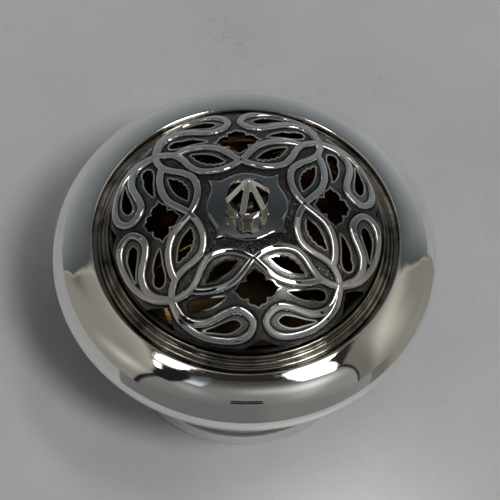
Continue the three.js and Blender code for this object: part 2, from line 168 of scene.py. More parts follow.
QUATREFOIL_ARMS = (
    ((26.6, 0.0), (25.9, 1.1), (25.7, 2.0), (25.1, 2.5), (24.3, 2.35)),
    ((24.3, 2.35), (24.4, 3.4), (23.8, 4.5), (22.8, 5.1), (22.1, 6.3)),
    ((22.1, 6.3), (21.4, 5.1), (20.5, 4.5), (20.0, 3.5), (20.1, 2.45)),
    ((20.1, 2.45), (19.3, 2.65), (18.5, 2.3), (18.0, 1.3), (17.0, 0.0)),
)
ALMOND_SCALLOP = 0.24

# Straps and lips: depth, step along, sides round, height that patina reaches, bend of the
# crest, and patina of the crest
STRAP_SHAPE = (0.85, 0.35, 20, 0.3, 1.7, 0.0)
LIP_SHAPE = (0.3, 0.25, 8, 0.02, 1.0, 0.15)

PLATE_TOP = 70.84
PLATE_WIDER = 1.035             # the plate's width in X, as a share of its width in Y
PLATE_THICKNESS = 0.6
PLATE_EDGE = (                  # its rounded edge: distance in from the edge, and drop
    (0.9, 0.0), (0.46, 0.0), (0.34, 0.015), (0.22, 0.06), (0.12, 0.13), (0.05, 0.22), (0.0, 0.36),
)
PLATE_SIDE = (
    (10.1, 0.0), (9.95, 1.6), (9.35, 3.4), (8.55, 5.2), (8.3, 6.8), (8.75, 8.75),
)
LOBE_EDGE_HOLE = ((33.4, 0.0), (35.2, 3.0), (36.6, 5.4))
CORNER_EDGE_HOLE = ((32.0, 0.0), (33.4, 2.3), (36.6, 5.2))

# Calyx and bud
LEAF_NOTCH = 4.4                # where two leaves part
LEAF_REACH = 8.15
LEAF_HALF = 1.3
LEAF_THICKNESS = 0.25
LEAF_RISE = 0.3
LEAF_RISE_FROM = 6.2            # how far out it starts to rise
LEAF_FORK_FROM = 6.8            # and its tip to part
LEAF_FORK_LENGTH = 1.35
LEAF_FORK_DEPTH = 0.5
LEAF_STATIONS = (1.8, 2.6, 3.4, 4.4, 5.0, 5.6, 6.2, 6.8, 7.3, 7.7, 8.0, 8.15)
LEAF_TURN = 0.247               # the first leaf, turned on from the first rib
LONG_LEAF = 96                  # degrees back from +X to the one leaf that keeps its length
HIDDEN_RADIUS = 5.2             # the bud's cup hides what lies inside this
BUD_CUP = 5.2
BUD_CUP_FOOT = 4.1
BUD_CUP_HEIGHT = 3.2
BUD_FOOT = 5.28
BUD_TIP = 0.75
BUD_ENDS = (0.44, 0.4)          # its body starts above the ledge, and ends under the peak
RIB_HALF = 0.78
BUD_LEDGE = (                   # rib radius and height, hollow radius and height, from the ledge
    (5.5, -0.5, 5.22, -0.45), (5.64, -0.3, 5.24, -0.2), (5.66, -0.05, 5.22, 0.0),
    (5.6, 0.12, 5.12, 0.06), (5.52, 0.2, 5.06, 0.0), (5.46, 0.26, 4.95, -0.2),
    (5.4, 0.32, 3.9, -0.25), (5.34, 0.38, 2.8, -0.1),
)
BUD_POINT = ((0.62, 0.24), (0.42, 0.1), (0.2, 0.02))   # radius, and depth under the peak

# The pierced sheet's points
SHEET_STEP = 0.42
OUTLINE_STEP = 0.25
LINE_CLEAR = 0.12               # points on the sheet's lines keep this far from a hole,
GRID_CLEAR = 0.2                # those of its grid this far from holes and from both ends,
SIDE_CLEAR = 0.18               # and this far from the sides of half a lobe
PATINA = {"crown": 1.0, "lens": 0.9, "ring": 0.84, "paisley": 0.62, "elsewhere": 0.85}


# Plane curves -----------------------------------------------------------------------------


def catmull_rom(points, step, closed=False):
    """Points a step apart on a smooth curve through the given ones."""
    pts = np.array(points, float)
    if closed:
        pts = np.vstack([pts[-1], pts, pts[0], pts[1]])
    else:
        pts = np.vstack([2 * pts[0] - pts[1], pts, 2 * pts[-1] - pts[-2]])
    run = []
    for p0, p1, p2, p3 in zip(pts, pts[1:], pts[2:], pts[3:]):
        count = max(2, int(np.linalg.norm(p2 - p1) / step * 4))
        t = np.linspace(0, 1, count, endpoint=False)[:, None]
        run.append(
            0.5 * (2 * p1 + (p2 - p0) * t + (2 * p0 - 5 * p1 + 4 * p2 - p3) * t**2
                   + (3 * p1 - p0 - 3 * p2 + p3) * t**3)
        )
    run.append(pts[-2][None])
    return evenly(np.vstack(run), step)


def evenly(line, step):
    """The same line with its points about a step apart; its two ends stay."""
    line = np.array(line, float)
    lengths = np.concatenate([[0], np.cumsum(np.linalg.norm(np.diff(line, axis=0), axis=1))])
    count = max(2, int(round(lengths[-1] / step)) + 1)
    at = np.linspace(0, lengths[-1], count)
    return np.stack([np.interp(at, lengths, line[:, k]) for k in range(line.shape[1])], 1)


def bezier(corners, steps):
    """A cubic curve from the first corner to the last."""
    p0, p1, p2, p3 = (np.array(c, float) for c in corners)
    t = np.linspace(0, 1, steps + 1)[:, None]
    return (1 - t) ** 3 * p0 + 3 * (1 - t) ** 2 * t * p1 + 3 * (1 - t) * t**2 * p2 + t**3 * p3


def scallops(cusps, depth, steps):
    """A line of small arcs from cusp to cusp, bulging to the right of the way they run."""
    cusps = np.array(cusps, float)
    run = []
    for a, b in zip(cusps, cusps[1:]):
        along = b - a
        side = np.array([along[1], -along[0]])
        t = np.linspace(0, 1, steps, endpoint=False)[:, None]
        run.append(a + along * t + side * depth * 4 * t * (1 - t))
    return np.vstack(run + [cusps[-1:]])


def ellipse_arc(centre, reach, start, end, steps):
    """Points on an ellipse between two angles in degrees."""
    a = np.radians(np.linspace(start, end, steps + 1))
    return np.stack([centre[0] + reach[0] * np.cos(a), centre[1] + reach[1] * np.sin(a)], 1)


def softened(points, radius, steps=4):
    """A closed outline with its corners rounded."""
    pts = np.array(points, float)
    out = []
    for before, here, after in zip(np.roll(pts, 1, 0), pts, np.roll(pts, -1, 0)):
        into, away = before - here, after - here
        reach = min(radius, 0.45 * np.linalg.norm(into), 0.45 * np.linalg.norm(away))
        a = here + into / np.linalg.norm(into) * reach
        b = here + away / np.linalg.norm(away) * reach
        t = np.linspace(0, 1, steps + 1)[:, None]
        out.append((1 - t) ** 2 * a + 2 * (1 - t) * t * here + t**2 * b)
    return np.vstack(out)


def inside(points, outline):
    """Which of the points lie inside a closed outline."""
    x, y = points[:, 0], points[:, 1]
    result = np.zeros(len(points), bool)
    for (x0, y0), (x1, y1) in zip(outline, np.roll(outline, -1, 0)):
        if y0 == y1:
            continue
        crosses = (y0 > y) != (y1 > y)
        result ^= crosses & (x < (x1 - x0) * (y - y0) / (y1 - y0) + x0)
    return result


def distance_to(points, line):
    """Distance from each point to the nearest point of a finely stepped line."""
    best = np.full(len(points), np.inf)
    for start in range(0, len(line), 200):
        part = line[start:start + 200]
        gap = np.linalg.norm(points[:, None] - part[None], axis=2).min(1)
        best = np.minimum(best, gap)
    return best


def smoothstep(low, high, value):
    """0 at low, 1 at high, and smooth between them."""
    t = np.clip((np.asarray(value, float) - low) / (high - low), 0, 1)
    return t * t * (3 - 2 * t)


# Meshes -----------------------------------------------------------------------------------


def placed(name, data):
    """A new object in the scene that holds the data."""
    obj = bpy.data.objects.new(name, data)
    bpy.context.scene.collection.objects.link(obj)
    return obj


def paint(mesh, values):
    """Writes one number per point for each named attribute."""
    for key, data in values.items():
        attribute = mesh.attributes.new(key, "FLOAT", "POINT")
        attribute.data.foreach_set("value", np.asarray(data, np.float32))


def smooth(mesh, sharp):
    """Smooth, but for edges sharper than an angle in degrees."""
    mesh.shade_smooth()
    mesh.set_sharp_from_angle(angle=math.radians(sharp))


def coordinates(mesh):
    """The mesh's points as rows of x, y and z, in metres."""
    flat = np.zeros(len(mesh.vertices) * 3)
    mesh.vertices.foreach_get("co", flat)
    return flat.reshape(-1, 3)


def mesh_object(name, points, faces, materials, face_materials=None, sharp=35.0, values=None):
    """A mesh object from points in millimetres."""
    mesh = bpy.data.meshes.new(name)
    mesh.from_pydata((np.asarray(points, float) * MM).tolist(), [], [list(f) for f in faces])
    for material in materials:
        mesh.materials.append(material)
    if face_materials is not None:
        mesh.polygons.foreach_set("material_index", np.asarray(face_materials, np.int32))
    paint(mesh, values or {})
    mesh.validate()
    smooth(mesh, sharp)
    return placed(name, mesh)


def grid_faces(rows, columns, rows_close=False, columns_close=False):
    """Quads over points that are stored row by row."""
    faces = []
    for j in range(rows if rows_close else rows - 1):
        a, b = j * columns, (j + 1) % rows * columns
        for i in range(columns if columns_close else columns - 1):
            n = (i + 1) % columns
            faces.append((a + i, b + i, b + n, a + n))
    return faces


def weld(points, faces):
    """Points that fall together become one. Also gives which of the points stay."""
    keys = np.round(np.asarray(points, float), 4)
    _, first, index = np.unique(keys, axis=0, return_index=True, return_inverse=True)
    index = index.reshape(-1)
    faces = index[np.asarray(faces)]
    keep = [len(set(face)) == len(face) for face in faces.tolist()]
    return np.asarray(points)[first], faces[np.array(keep)], first


def turned(profile, segments=TURN_SEGMENTS, finishes=None):
    """A closed profile of [radius, height] points, counterclockwise, turned about Z.
    finishes gives one material number for each of its sides."""
    profile = np.asarray(profile, float)
    angles = np.linspace(0, 2 * math.pi, segments, endpoint=False)
    points, rows = [], []
    for radius, height in profile:
        if radius < 1e-6:
            rows.append(np.full(segments, len(points)))
            points.append((0.0, 0.0, height))
        else:
            rows.append(len(points) + np.arange(segments))
            points.extend(
                (radius * math.cos(a), radius * math.sin(a), height) for a in angles
            )
    faces, marks = [], []
    for j, row in enumerate(rows):
        above = rows[(j + 1) % len(rows)]
        if row[0] == row[-1] and above[0] == above[-1]:
            continue
        for i in range(segments):
            n = (i + 1) % segments
            corners = [row[i], row[n], above[n], above[i]]
            faces.append([c for k, c in enumerate(corners) if c != corners[k - 1]])
            marks.append(finishes[j] if finishes is not None else 0)
    return points, faces, marks


# The lid's surface ------------------------------------------------------------------------


def lid_profile():
    """Table of the lid's outer line: plan distance, radius, height, and the way it faces."""
    def sphere(r):
        return DOME_CENTRE + np.sqrt(DOME_RADIUS**2 - np.asarray(r, float) ** 2)

    s = np.arange(0, 42.001, 0.02)
    reach = DOME_WALL_RADIUS - DOME_EDGE
    drop = float(sphere(DOME_WALL_RADIUS)) - (float(sphere(DOME_EDGE)) - ROLL_DROP)
    turn = np.clip((s - DOME_EDGE) / ROLL_LENGTH, 0, 1) * math.pi / 2
    radius = np.where(s < DOME_EDGE, s, DOME_EDGE + reach * np.sin(turn))
    height = sphere(np.maximum(np.minimum(radius, DOME_WALL_RADIUS), CROWN_FLAT))
    height = height - drop * (1 - np.cos(turn))
    height = height - np.maximum(s - DOME_EDGE - ROLL_LENGTH, 0)
    slope_r, slope_z = np.gradient(radius, s), np.gradient(height, s)
    length = np.hypot(slope_r, slope_z)
    return s, radius, height, -slope_z / length, slope_r / length


LID_TABLE = lid_profile()
LID_REACH = float(np.interp(-DOME_FOOT, -LID_TABLE[2], LID_TABLE[0]))


def on_dome(plan, lift):
    """Places plan points on the lid's surface, lifted along the way it faces."""
    plan = np.asarray(plan, float)
    s = np.hypot(plan[:, 0], plan[:, 1])
    radius, height, out, up = (np.interp(s, LID_TABLE[0], column) for column in LID_TABLE[1:])
    r = radius + out * lift
    turn = np.divide(plan, np.maximum(s, 1e-9)[:, None])
    return np.stack([turn[:, 0] * r, turn[:, 1] * r, height + up * lift], 1)


def edge_hole(corners):
    """Half of a hole in the lid's edge, from (plan distance, offset) corners."""
    line = catmull_rom([corners[0], corners[1]], OUTLINE_STEP)
    line = np.vstack([line, catmull_rom([corners[1], corners[2]], OUTLINE_STEP)[1:]])
    s, y = line[:, 0], line[:, 1]
    run = np.stack([np.sqrt(s**2 - y**2), y], 1)
    far, offset = corners[-1]
    end = math.asin(offset / far)
    back = np.linspace(end, 0, max(3, int(end * far / OUTLINE_STEP)))[1:]
    return np.vstack([run, np.stack([far * np.cos(back), far * np.sin(back)], 1)])


def piercings():
    """The outlines of the holes in half a lobe, each with True where it closes on itself."""
    almond = np.vstack([
        catmull_rom(ALMOND_SMOOTH, OUTLINE_STEP)[:-1],
        scallops(ALMOND_CUSPS, ALMOND_SCALLOP, 7)[:-1],
    ])
    comma = catmull_rom(COMMA, OUTLINE_STEP, closed=True)[:-1]
    drop = catmull_rom(DROP, OUTLINE_STEP, closed=True)[:-1]
    arcs = [catmull_rom(arm, OUTLINE_STEP) for arm in QUATREFOIL_ARMS]
    quatrefoil = np.vstack([arcs[0]] + [arc[1:] for arc in arcs[1:]])
    c = math.cos(WEDGE)
    corner_edge = (edge_hole(CORNER_EDGE_HOLE) * [1, -1]) @ np.array([[c, c], [-c, c]])
    return [(almond, True), (comma, True), (drop, True), (quatrefoil, False),
            (edge_hole(LOBE_EDGE_HOLE), False), (corner_edge, False)]


def strap_lines(step):
    """The straps' middle lines in half a lobe."""
    return [catmull_rom(line, step) for line in (INNER_LOOP, OUTER_LOOP, PAISLEY)]


def wedge_sheet():
    """Half a lobe of the pierced sheet in the plane: points and counterclockwise triangles."""
    holes = piercings()
    points, edges = [], []
    for outline, closed in holes:
        start = len(points)
        points.extend(outline.tolist())
        ids = list(range(start, len(points)))
        edges.extend(zip(ids, ids[1:] + ids[:1] if closed else ids[1:]))
    rim = np.array(points)
    edge_s = DOME_EDGE + ROLL_LENGTH
    fixed = []
    for s in (STUD_HOLE, edge_s, (edge_s + LID_REACH) / 2, LID_REACH):
        angles = np.linspace(0, WEDGE, 60 if s > 10 else 9)
        fixed.append(np.stack([s * np.cos(angles), s * np.sin(angles)], 1))
    line = np.arange(STUD_HOLE + SHEET_STEP, edge_s - GRID_CLEAR, SHEET_STEP)
    fixed.append(np.stack([line, 0 * line], 1))
    fixed.append(np.stack([line, line], 1) * math.cos(WEDGE))
    fixed = np.vstack(fixed)
    fixed = fixed[distance_to(fixed, rim) > LINE_CLEAR]
    row = np.arange(0, edge_s, SHEET_STEP)
    grid = np.vstack([
        np.stack([row + (k % 2) * SHEET_STEP / 2, np.full(len(row), y)], 1)
        for k, y in enumerate(np.arange(0, edge_s, SHEET_STEP * math.sqrt(3) / 2))
    ])
    s = np.hypot(*grid.T)
    side = np.minimum(grid[:, 1], (grid[:, 0] - grid[:, 1]) * math.cos(WEDGE))
    within = (s > STUD_HOLE + GRID_CLEAR) & (s < edge_s - GRID_CLEAR)
    grid = grid[(side > SIDE_CLEAR) & within]
    grid = grid[distance_to(grid, rim) > GRID_CLEAR]
    every = [Vector(p) for p in points + fixed.tolist() + grid.tolist()]
    done = delaunay_2d_cdt(every, edges, [], 0, 1e-5)
    verts = np.array([tuple(v) for v in done[0]])
    tris = np.array([f for f in done[2] if len(f) == 3])
    middle = verts[tris].mean(1)
    keep = np.hypot(*middle.T) > STUD_HOLE
    for outline, _ in holes:
        keep &= ~inside(middle, outline)
    tris = tris[keep]
    a, b, c = (verts[tris[:, k]] for k in range(3))
    area = (b[:, 0] - a[:, 0]) * (c[:, 1] - a[:, 1]) - (b[:, 1] - a[:, 1]) * (c[:, 0] - a[:, 0])
    tris[area < 0] = tris[area < 0][:, ::-1]
    return verts, tris[np.abs(area) > 1e-9]


def sheet_finish(plan):
    """How dark and how stippled the chased sheet is at each plan point of half a lobe."""
    straps = np.vstack(strap_lines(0.15))
    gap = distance_to(plan, straps)
    s = np.hypot(plan[:, 0], plan[:, 1])
    inner, outer, paisley = strap_lines(0.4)
    almond_ring = inside(plan, np.vstack([inner[:-4], outer[::-1]]))
    in_paisley = inside(plan, paisley)
    crown = inside(plan, np.vstack([[0.0, 0.0], inner, [40.0, 40.0]])) | (s < 12)
    crown &= ~almond_ring & ~in_paisley & (plan[:, 0] < 15.5)
    lens = (plan[:, 1] > plan[:, 0] - 6.5) & (s > 17) & (s < 30) & ~almond_ring & ~in_paisley
    dark = np.full(len(plan), PATINA["elsewhere"])
    for key, where in (
        ("crown", crown), ("lens", lens), ("ring", almond_ring), ("paisley", in_paisley),
    ):
        dark[where] = PATINA[key]
    stipple = np.where(crown, 1.0, np.where(lens, 0.7, 0.1))
    dark = dark + 0.4 * smoothstep(1.55, 1.05, gap)
    return np.clip(dark, 0, 1), stipple * smoothstep(0.9, 1.4, gap)


def all_around(points, faces, values):
    """Mirrors half a lobe and turns it round all the lobes. values ride along."""
    points, faces = (np.vstack([points, points * [1, -1, 1]]),
                     np.vstack([faces, faces[:, ::-1] + len(points)]))
    rounds = []
    for k in range(LOBES):
        a = 2 * math.pi * k / LOBES
        c, s = math.cos(a), math.sin(a)
        rounds.append(points @ np.array([[c, s, 0], [-s, c, 0], [0, 0, 1]]))
    runs = [faces + k * len(points) for k in range(LOBES)]
    values = {key: np.tile(data, 2 * LOBES) for key, data in values.items()}
    return np.vstack(rounds), np.vstack(runs), values


# Nodes ------------------------------------------------------------------------------------


class Nodes:
    """Adds and links the nodes of one tree."""

    def __init__(self, tree):
        self.nodes, self.links = tree.nodes, tree.links

    def feed(self, socket, value):
        """Links a node or an output to the socket, or sets the socket to a plain value."""
        if isinstance(value, bpy.types.Node):
            value = value.outputs[0]
        if isinstance(value, bpy.types.NodeSocket):
            self.links.new(value, socket)
        else:
            socket.default_value = value

    def add(self, kind, sockets=None, **settings):
        node = self.nodes.new(kind)
        for key, value in settings.items():
            setattr(node, key, value)
        for key, value in (sockets or {}).items():
            self.feed(node.inputs[key], value)
        return node

    def math(self, operation, a, b):
        return self.add("ShaderNodeMath", {0: a, 1: b}, operation=operation).outputs[0]

    def mix(self, share, a, b):
        a, b = ((*value, 1.0) if isinstance(value, tuple) else value for value in (a, b))
        sockets = {"Factor": share, "A": a, "B": b}
        return self.add("ShaderNodeMix", sockets, data_type="RGBA").outputs["Result"]


class Tree(Nodes):
    """A Geometry Nodes tree with named inputs."""

    def __init__(self, name, inputs):
        self.tree = bpy.data.node_groups.new(name, "GeometryNodeTree")
        super().__init__(self.tree)
        face = self.tree.interface
        face.new_socket("Geometry", in_out="INPUT", socket_type="NodeSocketGeometry")
        self.ids = {}
        for label, kind in inputs.items():
            socket = face.new_socket(label, in_out="INPUT", socket_type="NodeSocket" + kind)
            self.ids[label] = socket.identifier
        face.new_socket("Geometry", in_out="OUTPUT", socket_type="NodeSocketGeometry")
        self.source = self.add("NodeGroupInput")
        self.target = self.add("NodeGroupOutput")

    def given(self, label):
        return self.source.outputs[label]

    def turned_copies(self, geometry, count, phase):
        """Copies of a geometry turned evenly about Z."""
        points = self.add("GeometryNodePoints", {"Count": count})
        index = self.add("GeometryNodeInputIndex")
        share = self.math("DIVIDE", index, count)
        angle = self.math("ADD", self.math("MULTIPLY", share, 2 * math.pi), phase)
        turn = self.add("ShaderNodeCombineXYZ", {"Z": angle})
        return self.add("GeometryNodeInstanceOnPoints", {
            "Points": points, "Instance": geometry, "Rotation": turn}).outputs["Instances"]

    def finish(self, geometry, material):
        whole = self.add("GeometryNodeRealizeInstances", {"Geometry": geometry})
        painted = self.add("GeometryNodeSetMaterial", {"Geometry": whole, "Material": material})
        self.feed(self.target.inputs[0], painted)


def strap_tree():
    """Rounded straps along the lines of half a lobe, mirrored and turned round the lid."""
    tree = Tree("strap_run", {
        "Half Width": "Float", "Crest": "Float", "Depth": "Float", "Step": "Float",
        "Sides": "Int", "Lobes": "Int", "Closed": "Bool", "Smooth": "Bool",
        "Material": "Material",
    })
    curve = tree.add("GeometryNodeMeshToCurve", {"Mesh": tree.given("Geometry")})
    curve = tree.add(
        "GeometryNodeCurveSplineType",
        {"Curve": curve, "Selection": tree.given("Smooth")}, spline_type="CATMULL_ROM",
    )
    curve = tree.add(
        "GeometryNodeSetSplineCyclic", {"Geometry": curve, "Cyclic": tree.given("Closed")}
    )
    curve = tree.add(
        "GeometryNodeResampleCurve", {"Curve": curve, "Length": tree.given("Step")}, mode="LENGTH"
    )
    curve = tree.add("GeometryNodeSetCurveNormal", {"Curve": curve}, mode="Z_UP")
    half_height = tree.math(
        "MULTIPLY", tree.math("ADD", tree.given("Crest"), tree.given("Depth")), 0.5
    )
    middle = tree.math("SUBTRACT", tree.given("Crest"), half_height)
    section = tree.add(
        "GeometryNodeCurvePrimitiveCircle", {"Resolution": tree.given("Sides"), "Radius": 1.0}
    )
    shape = tree.add("ShaderNodeCombineXYZ", {
        "X": tree.given("Half Width"), "Y": half_height, "Z": 1.0,
    })
    place = tree.add("ShaderNodeCombineXYZ", {"Y": middle})
    section = tree.add(
        "GeometryNodeTransform",
        {"Geometry": section.outputs["Curve"], "Scale": shape, "Translation": place},
    )
    run = tree.add(
        "GeometryNodeCurveToMesh", {"Curve": curve, "Profile Curve": section, "Fill Caps": True}
    )
    mirror = tree.add("GeometryNodeTransform", {"Geometry": run, "Scale": (1.0, -1.0, 1.0)})
    mirror = tree.add("GeometryNodeFlipFaces", {"Mesh": mirror})
    both = tree.add("GeometryNodeJoinGeometry")
    tree.feed(both.inputs[0], run)
    tree.feed(both.inputs[0], mirror)
    around = tree.turned_copies(both, tree.given("Lobes"), 0.0)
    tree.finish(around, tree.given("Material"))
    return tree


def leaf_tree():
    """Leaves turned round the middle and joined where they meet."""
    tree = Tree("leaf_round", {"Leaves": "Int", "Phase": "Float", "Material": "Material"})
    around = tree.turned_copies(
        tree.given("Geometry"), tree.given("Leaves"), tree.given("Phase")
    )
    whole = tree.add("GeometryNodeRealizeInstances", {"Geometry": around})
    joined = tree.add("GeometryNodeMergeByDistance", {"Geometry": whole, "Distance": 1e-5})
    tree.finish(joined, tree.given("Material"))
    return tree


def evaluated(name, base, tree, values):
    """The plain mesh that a tree makes of a base mesh; the base and modifier are removed."""
    modifier = base.modifiers.new(tree.tree.name, "NODES")
    modifier.node_group = tree.tree
    for label, value in values.items():
        modifier[tree.ids[label]] = value
    graph = bpy.context.evaluated_depsgraph_get()
    mesh = bpy.data.meshes.new_from_object(base.evaluated_get(graph), depsgraph=graph)
    base.modifiers.clear()
    bpy.data.objects.remove(base)
    mesh.name = name
    return placed(name, mesh)


def line_object(name, lines, closed):
    """A mesh of plain lines in the plane, in millimetres, for a tree to follow."""
    points, edges = [], []
    for line in lines:
        ids = list(range(len(points), len(points) + len(line)))
        points.extend((x * MM, y * MM, 0.0) for x, y in line)
        edges.extend(zip(ids, ids[1:] + ids[:1] if closed else ids[1:]))
    mesh = bpy.data.meshes.new(name)
    mesh.from_pydata(points, edges, [])
    return placed(name, mesh)


def wrap_on_dome(obj, crest, depth, dark_below, bend, least):
    """Lays a mesh that is drawn flat onto the lid, reshapes its crest and darkens its foot.
    bend 1 leaves the section an ellipse, 2 makes its crest a parabola. least is the patina
    of the crest."""
    mesh = obj.data
    flat = coordinates(mesh) / MM
    half, middle = (crest + depth) / 2, (crest - depth) / 2
    rise = np.clip((flat[:, 2] - middle) / half, -1, 1)
    flat[:, 2] = middle + half * np.where(rise > 0, np.maximum(rise, 0) ** bend, rise)
    on_lid = on_dome(flat[:, :2], flat[:, 2])
    mesh.vertices.foreach_set("co", (on_lid * MM).reshape(-1))
    paint(mesh, {
        "patina_and_shade": least + (0.9 - least) * smoothstep(dark_below, -0.1, flat[:, 2]),
        "stipple": np.zeros(len(flat)),
    })
    mesh.update()
    smooth(mesh, 50)


# Materials --------------------------------------------------------------------------------


def dimmed(colour, share):
    """The colour at a share of its strength."""
    return tuple(share * c for c in colour)


class Finish(Nodes):
    """A node material around one Principled shader."""

    def __init__(self, name, colour, roughness, metallic=1.0):
        self.material = bpy.data.materials.new(name)
        self.material.use_nodes = True
        super().__init__(self.material.node_tree)
        self.shader = self.nodes["Principled BSDF"].inputs
        self.shader["Base Color"].default_value = (*colour, 1.0)
        self.shader["Roughness"].default_value = roughness
        self.shader["Metallic"].default_value = metallic
        self.coords = self.add("ShaderNodeTexCoord").outputs["Object"]

    def noise(self, scale, detail=3.0, stretch=(1, 1, 1), turn=(0, 0, 0), roughness=0.5):
        place = self.add("ShaderNodeMapping", {
            "Vector": self.coords, "Scale": stretch, "Rotation": turn})
        return self.add("ShaderNodeTexNoise", {
            "Vector": place, "Scale": scale, "Detail": detail, "Roughness": roughness,
        }).outputs["Fac"]

    def cells(self, scale):
        return self.add("ShaderNodeTexVoronoi", {
            "Vector": self.coords, "Scale": scale}, feature="F1").outputs["Distance"]

    def attribute(self, name):
        return self.add("ShaderNodeAttribute", attribute_name=name).outputs["Fac"]

    def span(self, value, low, high, to_low=0.0, to_high=1.0):
        """The value mapped from low and high to to_low and to_high, and held between them."""
        return self.add("ShaderNodeMapRange", {
            "Value": value, "From Min": low, "From Max": high,
            "To Min": to_low, "To Max": to_high,
        }).outputs["Result"]

    def colour(self, value):
        self.feed(self.shader["Base Color"], value)

    def rough(self, value):
        self.feed(self.shader["Roughness"], value)

    def bump(self, height, distance, strength=1.0):
        self.feed(self.shader["Normal"], self.add("ShaderNodeBump", {
            "Height": height, "Distance": distance, "Strength": strength}))


def silver_finish(name, colour, roughness):
    """Polished silver with fine wiping marks and a few faint darker clouds. Its patina attribute
    darkens its colour, and on the bowl that darkening is painted shade; the attribute soft roughens
    it."""
    finish = Finish(name, colour, roughness)
    clouds = finish.span(finish.noise(90, 4), 0.35, 0.75)
    wipes = finish.span(finish.noise(700, 2, stretch=(1, 6, 1), turn=(0, 0, 0.6)), 0.55, 0.8)
    bright = finish.mix(clouds, colour, dimmed(colour, 0.93))
    finish.colour(finish.mix(finish.attribute("patina_and_shade"), bright, dimmed(colour, 0.34)))
    base = finish.span(clouds, 0, 1, roughness, roughness + 0.04)
    base = finish.math("ADD", base, finish.math("MULTIPLY", wipes, 0.03))
    soft = finish.math("MULTIPLY", finish.attribute("soft"), 0.42)
    finish.rough(finish.math("ADD", base, soft))
    finish.bump(finish.noise(2400, 2, stretch=(1, 5, 1), turn=(0.2, 0.1, 0.7)), 0.000004, 0.35)
    return finish.material


def chased_finish(name, colour, dark, worn=0.26):
    """Silver that the patina attribute oxidises from bright to dark, and on the crown plate darkens
    as painted shade; the attribute stipple punches with small dots. worn is the roughness of its
    darkest places."""
    finish = Finish(name, colour, 0.12)
    patina_and_shade, stipple = finish.attribute("patina_and_shade"), finish.attribute("stipple")
    grain = finish.cells(2600)
    cloud = finish.span(finish.noise(350, 4), 0.3, 0.7, -0.07, 0.1)
    pits = finish.math("MULTIPLY", finish.span(grain, 0.3, 0.62, 0.1, -0.05), stipple)
    dots = finish.math("MULTIPLY", finish.span(finish.cells(1500), 0.08, 0.2, 0.55, 0.0), stipple)
    shade = finish.math("ADD", patina_and_shade, finish.math("MULTIPLY", cloud, patina_and_shade))
    shade = finish.math("SUBTRACT", finish.math("ADD", shade, pits), dots)
    shade = finish.span(shade, 0, 1)
    finish.colour(finish.mix(shade, colour, dark))
    finish.rough(finish.span(shade, 0, 1, 0.03, worn))
    finish.bump(finish.math("MULTIPLY", grain, stipple), 0.00022, 0.9)
    return finish.material


def clouded_finish(name, colour, dark, clouds, rough, bump_scale):
    """Metal with soft dark clouds: their noise as (scale, detail, low, high), and the
    roughness outside and inside them."""
    finish = Finish(name, colour, rough[0])
    scale, detail, low, high = clouds
    share = finish.span(finish.noise(scale, detail), low, high)
    finish.colour(finish.mix(share, colour, dark))
    finish.rough(finish.span(share, 0, 1, *rough))
    finish.bump(finish.noise(bump_scale, 3), 0.00001, 0.4)
    return finish.material


def floor_finish(name, colour):
    """A pale floor with faint mottling, specks and a few thin hair marks."""
    finish = Finish(name, colour, 0.6, metallic=0.0)
    finish.shader["Specular IOR Level"].default_value = 0.2
    mottle = finish.span(finish.noise(14, 6, roughness=0.6), 0.3, 0.75)
    base = finish.mix(mottle, dimmed(colour, 1.09), dimmed(colour, 0.91))
    fine = finish.span(finish.noise(160, 3), 0.62, 0.8)
    vein = finish.math("ABSOLUTE", finish.math("SUBTRACT", finish.noise(34, 4), 0.5), 0.0)
    patch = finish.span(finish.noise(30, 2, turn=(0, 0, 1.0)), 0.58, 0.66)
    cracks = finish.math("MULTIPLY", finish.span(vein, 0.0, 0.005, 0.3, 0.0), patch)
    specks = finish.math("MULTIPLY", finish.span(finish.noise(1300, 2), 0.68, 0.74), 0.5)
    share = finish.math("ADD", finish.math("MULTIPLY", fine, 0.16), cracks)
    share = finish.math("MAXIMUM", share, specks)
    finish.colour(finish.mix(share, base, dimmed(colour, 0.5)))
    return finish.material


def glow_finish(name, colour):
    """A lit card, whose strength is painted on it as an attribute."""
    material = bpy.data.materials.new(name)
    material.use_nodes = True
    tree = Nodes(material.node_tree)
    tree.nodes.clear()
    glow = tree.add("ShaderNodeAttribute", attribute_name="glow").outputs["Fac"]
    light = tree.add("ShaderNodeEmission", {"Color": (*colour, 1.0), "Strength": glow})
    tree.add("ShaderNodeOutputMaterial", {"Surface": light})
    return material


FINISHES = {}


def finish_of(key):
    """Each finish is made once and shared."""
    if key not in FINISHES:
        look = bpy.context.scene.pot_finishes
        silver, dark, plate = tuple(look.silver), tuple(look.oxide), tuple(look.plate)
        maker, *facts = {
            "polished": (silver_finish, "polished_silver", silver, 0.014),
            "chased": (chased_finish, "chased_silver", dimmed(silver, 0.64), dark),
            "gilt": (clouded_finish, "gilt_lining", tuple(look.gilt), dimmed(look.gilt, 0.6),
                     (120, 4, 0.3, 0.75), (0.09, 0.2), 1800),
            "moulding": (clouded_finish, "oxidised_silver", (0.42, 0.385, 0.335), dark,
                         (160, 5, 0.42, 0.72), (0.055, 0.195), 1500),
            "plate": (chased_finish, "plate_silver", plate, dimmed(plate, 0.4), 0.05),
            "cast": (chased_finish, "warm_silver", tuple(look.cast), dimmed(dark, 0.9)),
            "steel": (clouded_finish, "steel", (0.42, 0.43, 0.45), (0.25, 0.25, 0.26),
                      (400, 5, 0.42, 0.72), (0.3, 0.44), 1500),
        }[key]
        FINISHES[key] = maker(*facts)
    return FINISHES[key]


# Settings ---------------------------------------------------------------------------------


def length(name, description, default):
    return bpy.props.FloatProperty(
        name=name, description=description, default=default, unit="LENGTH")


def tint(name, description, default):
    return bpy.props.FloatVectorProperty(
        name=name, description=description, default=default, size=3, subtype="COLOR",
        min=0, max=1)


